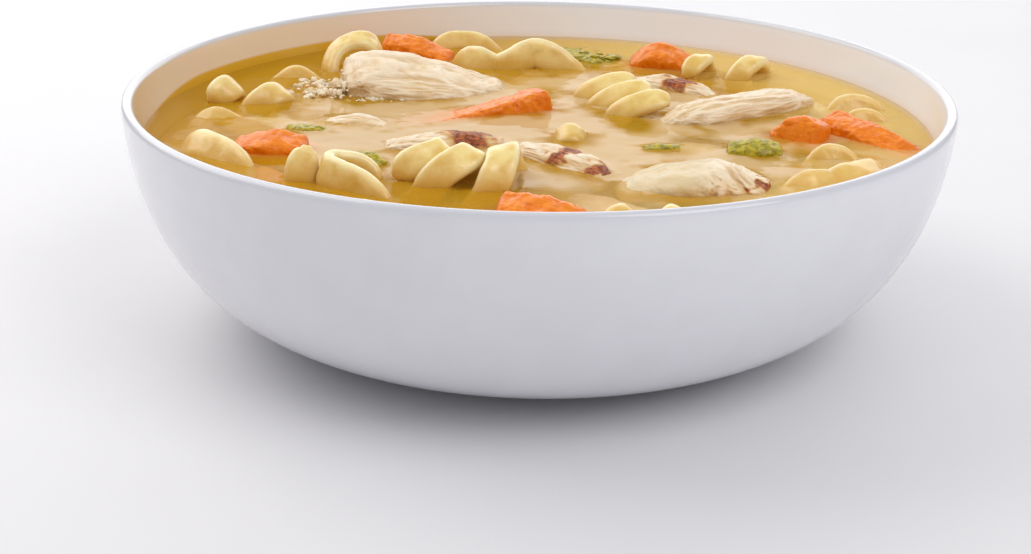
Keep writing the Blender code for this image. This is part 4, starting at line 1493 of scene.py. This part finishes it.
class SOUP_OT_noodles(bpy.types.Operator):
    """Curl and cook the egg noodles"""

    bl_idname = "soup.noodles"
    bl_label = "Cook the Noodles"

    def execute(self, context):
        make_noodles(noodle_finish(context.scene.soup_noodles, context.scene.soup_broth))
        return {"FINISHED"}


class SOUP_OT_chicken(bpy.types.Operator):
    """Tear the chicken and brown it in places"""

    bl_idname = "soup.chicken"
    bl_label = "Tear the Chicken"

    def execute(self, context):
        settings = context.scene.soup_chicken
        make_chicken(settings, chicken_finish(settings, context.scene.soup_broth))
        return {"FINISHED"}


class SOUP_OT_vegetables(bpy.types.Operator):
    """Cut the carrots and the celery"""

    bl_idname = "soup.vegetables"
    bl_label = "Cut the Vegetables"

    def execute(self, context):
        settings = context.scene.soup_vegetables
        make_carrots(carrot_finish(settings))
        make_celery(celery_finish(settings, context.scene.soup_broth))
        return {"FINISHED"}


class SOUP_OT_sunk(bpy.types.Operator):
    """Drop in the pieces that lie under the surface"""

    bl_idname = "soup.sunk"
    bl_label = "Sink the Lower Pieces"

    def execute(self, context):
        make_sunk()
        return {"FINISHED"}


class SOUP_OT_broth(bpy.types.Operator):
    """Pour the broth round the food"""

    bl_idname = "soup.broth"
    bl_label = "Pour the Broth"

    def execute(self, context):
        settings = context.scene.soup_broth
        top, deep = broth_finish(settings), deep_finish(settings)
        make_broth(top, deep)
        make_cloud(deep)
        return {"FINISHED"}


class SOUP_OT_beads(bpy.types.Operator):
    """Scatter drops of fat and bubbles over the broth"""

    bl_idname = "soup.beads"
    bl_label = "Scatter Drops and Bubbles"

    def execute(self, context):
        make_beads(drop_finish(context.scene.soup_broth))
        return {"FINISHED"}


class SOUP_OT_stage(bpy.types.Operator):
    """Lay the floor and set the lights and the camera"""

    bl_idname = "soup.stage"
    bl_label = "Set the Stage"

    def execute(self, context):
        settings = context.scene.soup_stage
        add_camera(settings)
        add_world(settings)
        add_floor(floor_finish(settings))
        for name, facts in LIGHTS.items():
            add_light(name, getattr(settings, name + "_watts"), *facts)
        context.scene.view_settings.view_transform = "Standard"
        return {"FINISHED"}


OPERATORS = (
    SOUP_OT_bowl,
    SOUP_OT_noodles,
    SOUP_OT_chicken,
    SOUP_OT_vegetables,
    SOUP_OT_sunk,
    SOUP_OT_broth,
    SOUP_OT_beads,
    SOUP_OT_stage,
)
SETTINGS = {
    "soup_bowl": BowlSettings,
    "soup_noodles": NoodleSettings,
    "soup_chicken": ChickenSettings,
    "soup_vegetables": VegetableSettings,
    "soup_broth": BrothSettings,
    "soup_stage": StageSettings,
}


class SOUP_PT_sidebar(bpy.types.Panel):
    """Lists the steps of making the soup and their settings"""

    bl_idname = "SOUP_PT_sidebar"
    bl_label = "Chicken Noodle Soup"
    bl_space_type = "VIEW_3D"
    bl_region_type = "UI"
    bl_category = "Soup"

    def draw(self, context):
        for operator in OPERATORS:
            self.layout.operator(operator.bl_idname)
        for name, group in SETTINGS.items():
            box = self.layout.box()
            for key in group.__annotations__:
                box.prop(getattr(context.scene, name), key)


def register():
    for group in (*SETTINGS.values(), *OPERATORS, SOUP_PT_sidebar):
        bpy.utils.register_class(group)
    for name, group in SETTINGS.items():
        setattr(bpy.types.Scene, name, PointerProperty(type=group))


def unregister():
    for name in SETTINGS:
        delattr(bpy.types.Scene, name)
    for group in (SOUP_PT_sidebar, *OPERATORS[::-1], *SETTINGS.values()):
        bpy.utils.unregister_class(group)


def main():
    register()
    bpy.ops.soup.bowl()
    bpy.ops.soup.noodles()
    bpy.ops.soup.chicken()
    bpy.ops.soup.vegetables()
    bpy.ops.soup.sunk()
    bpy.ops.soup.broth()
    bpy.ops.soup.beads()
    bpy.ops.soup.stage()


if __name__ == "__main__":
    main()
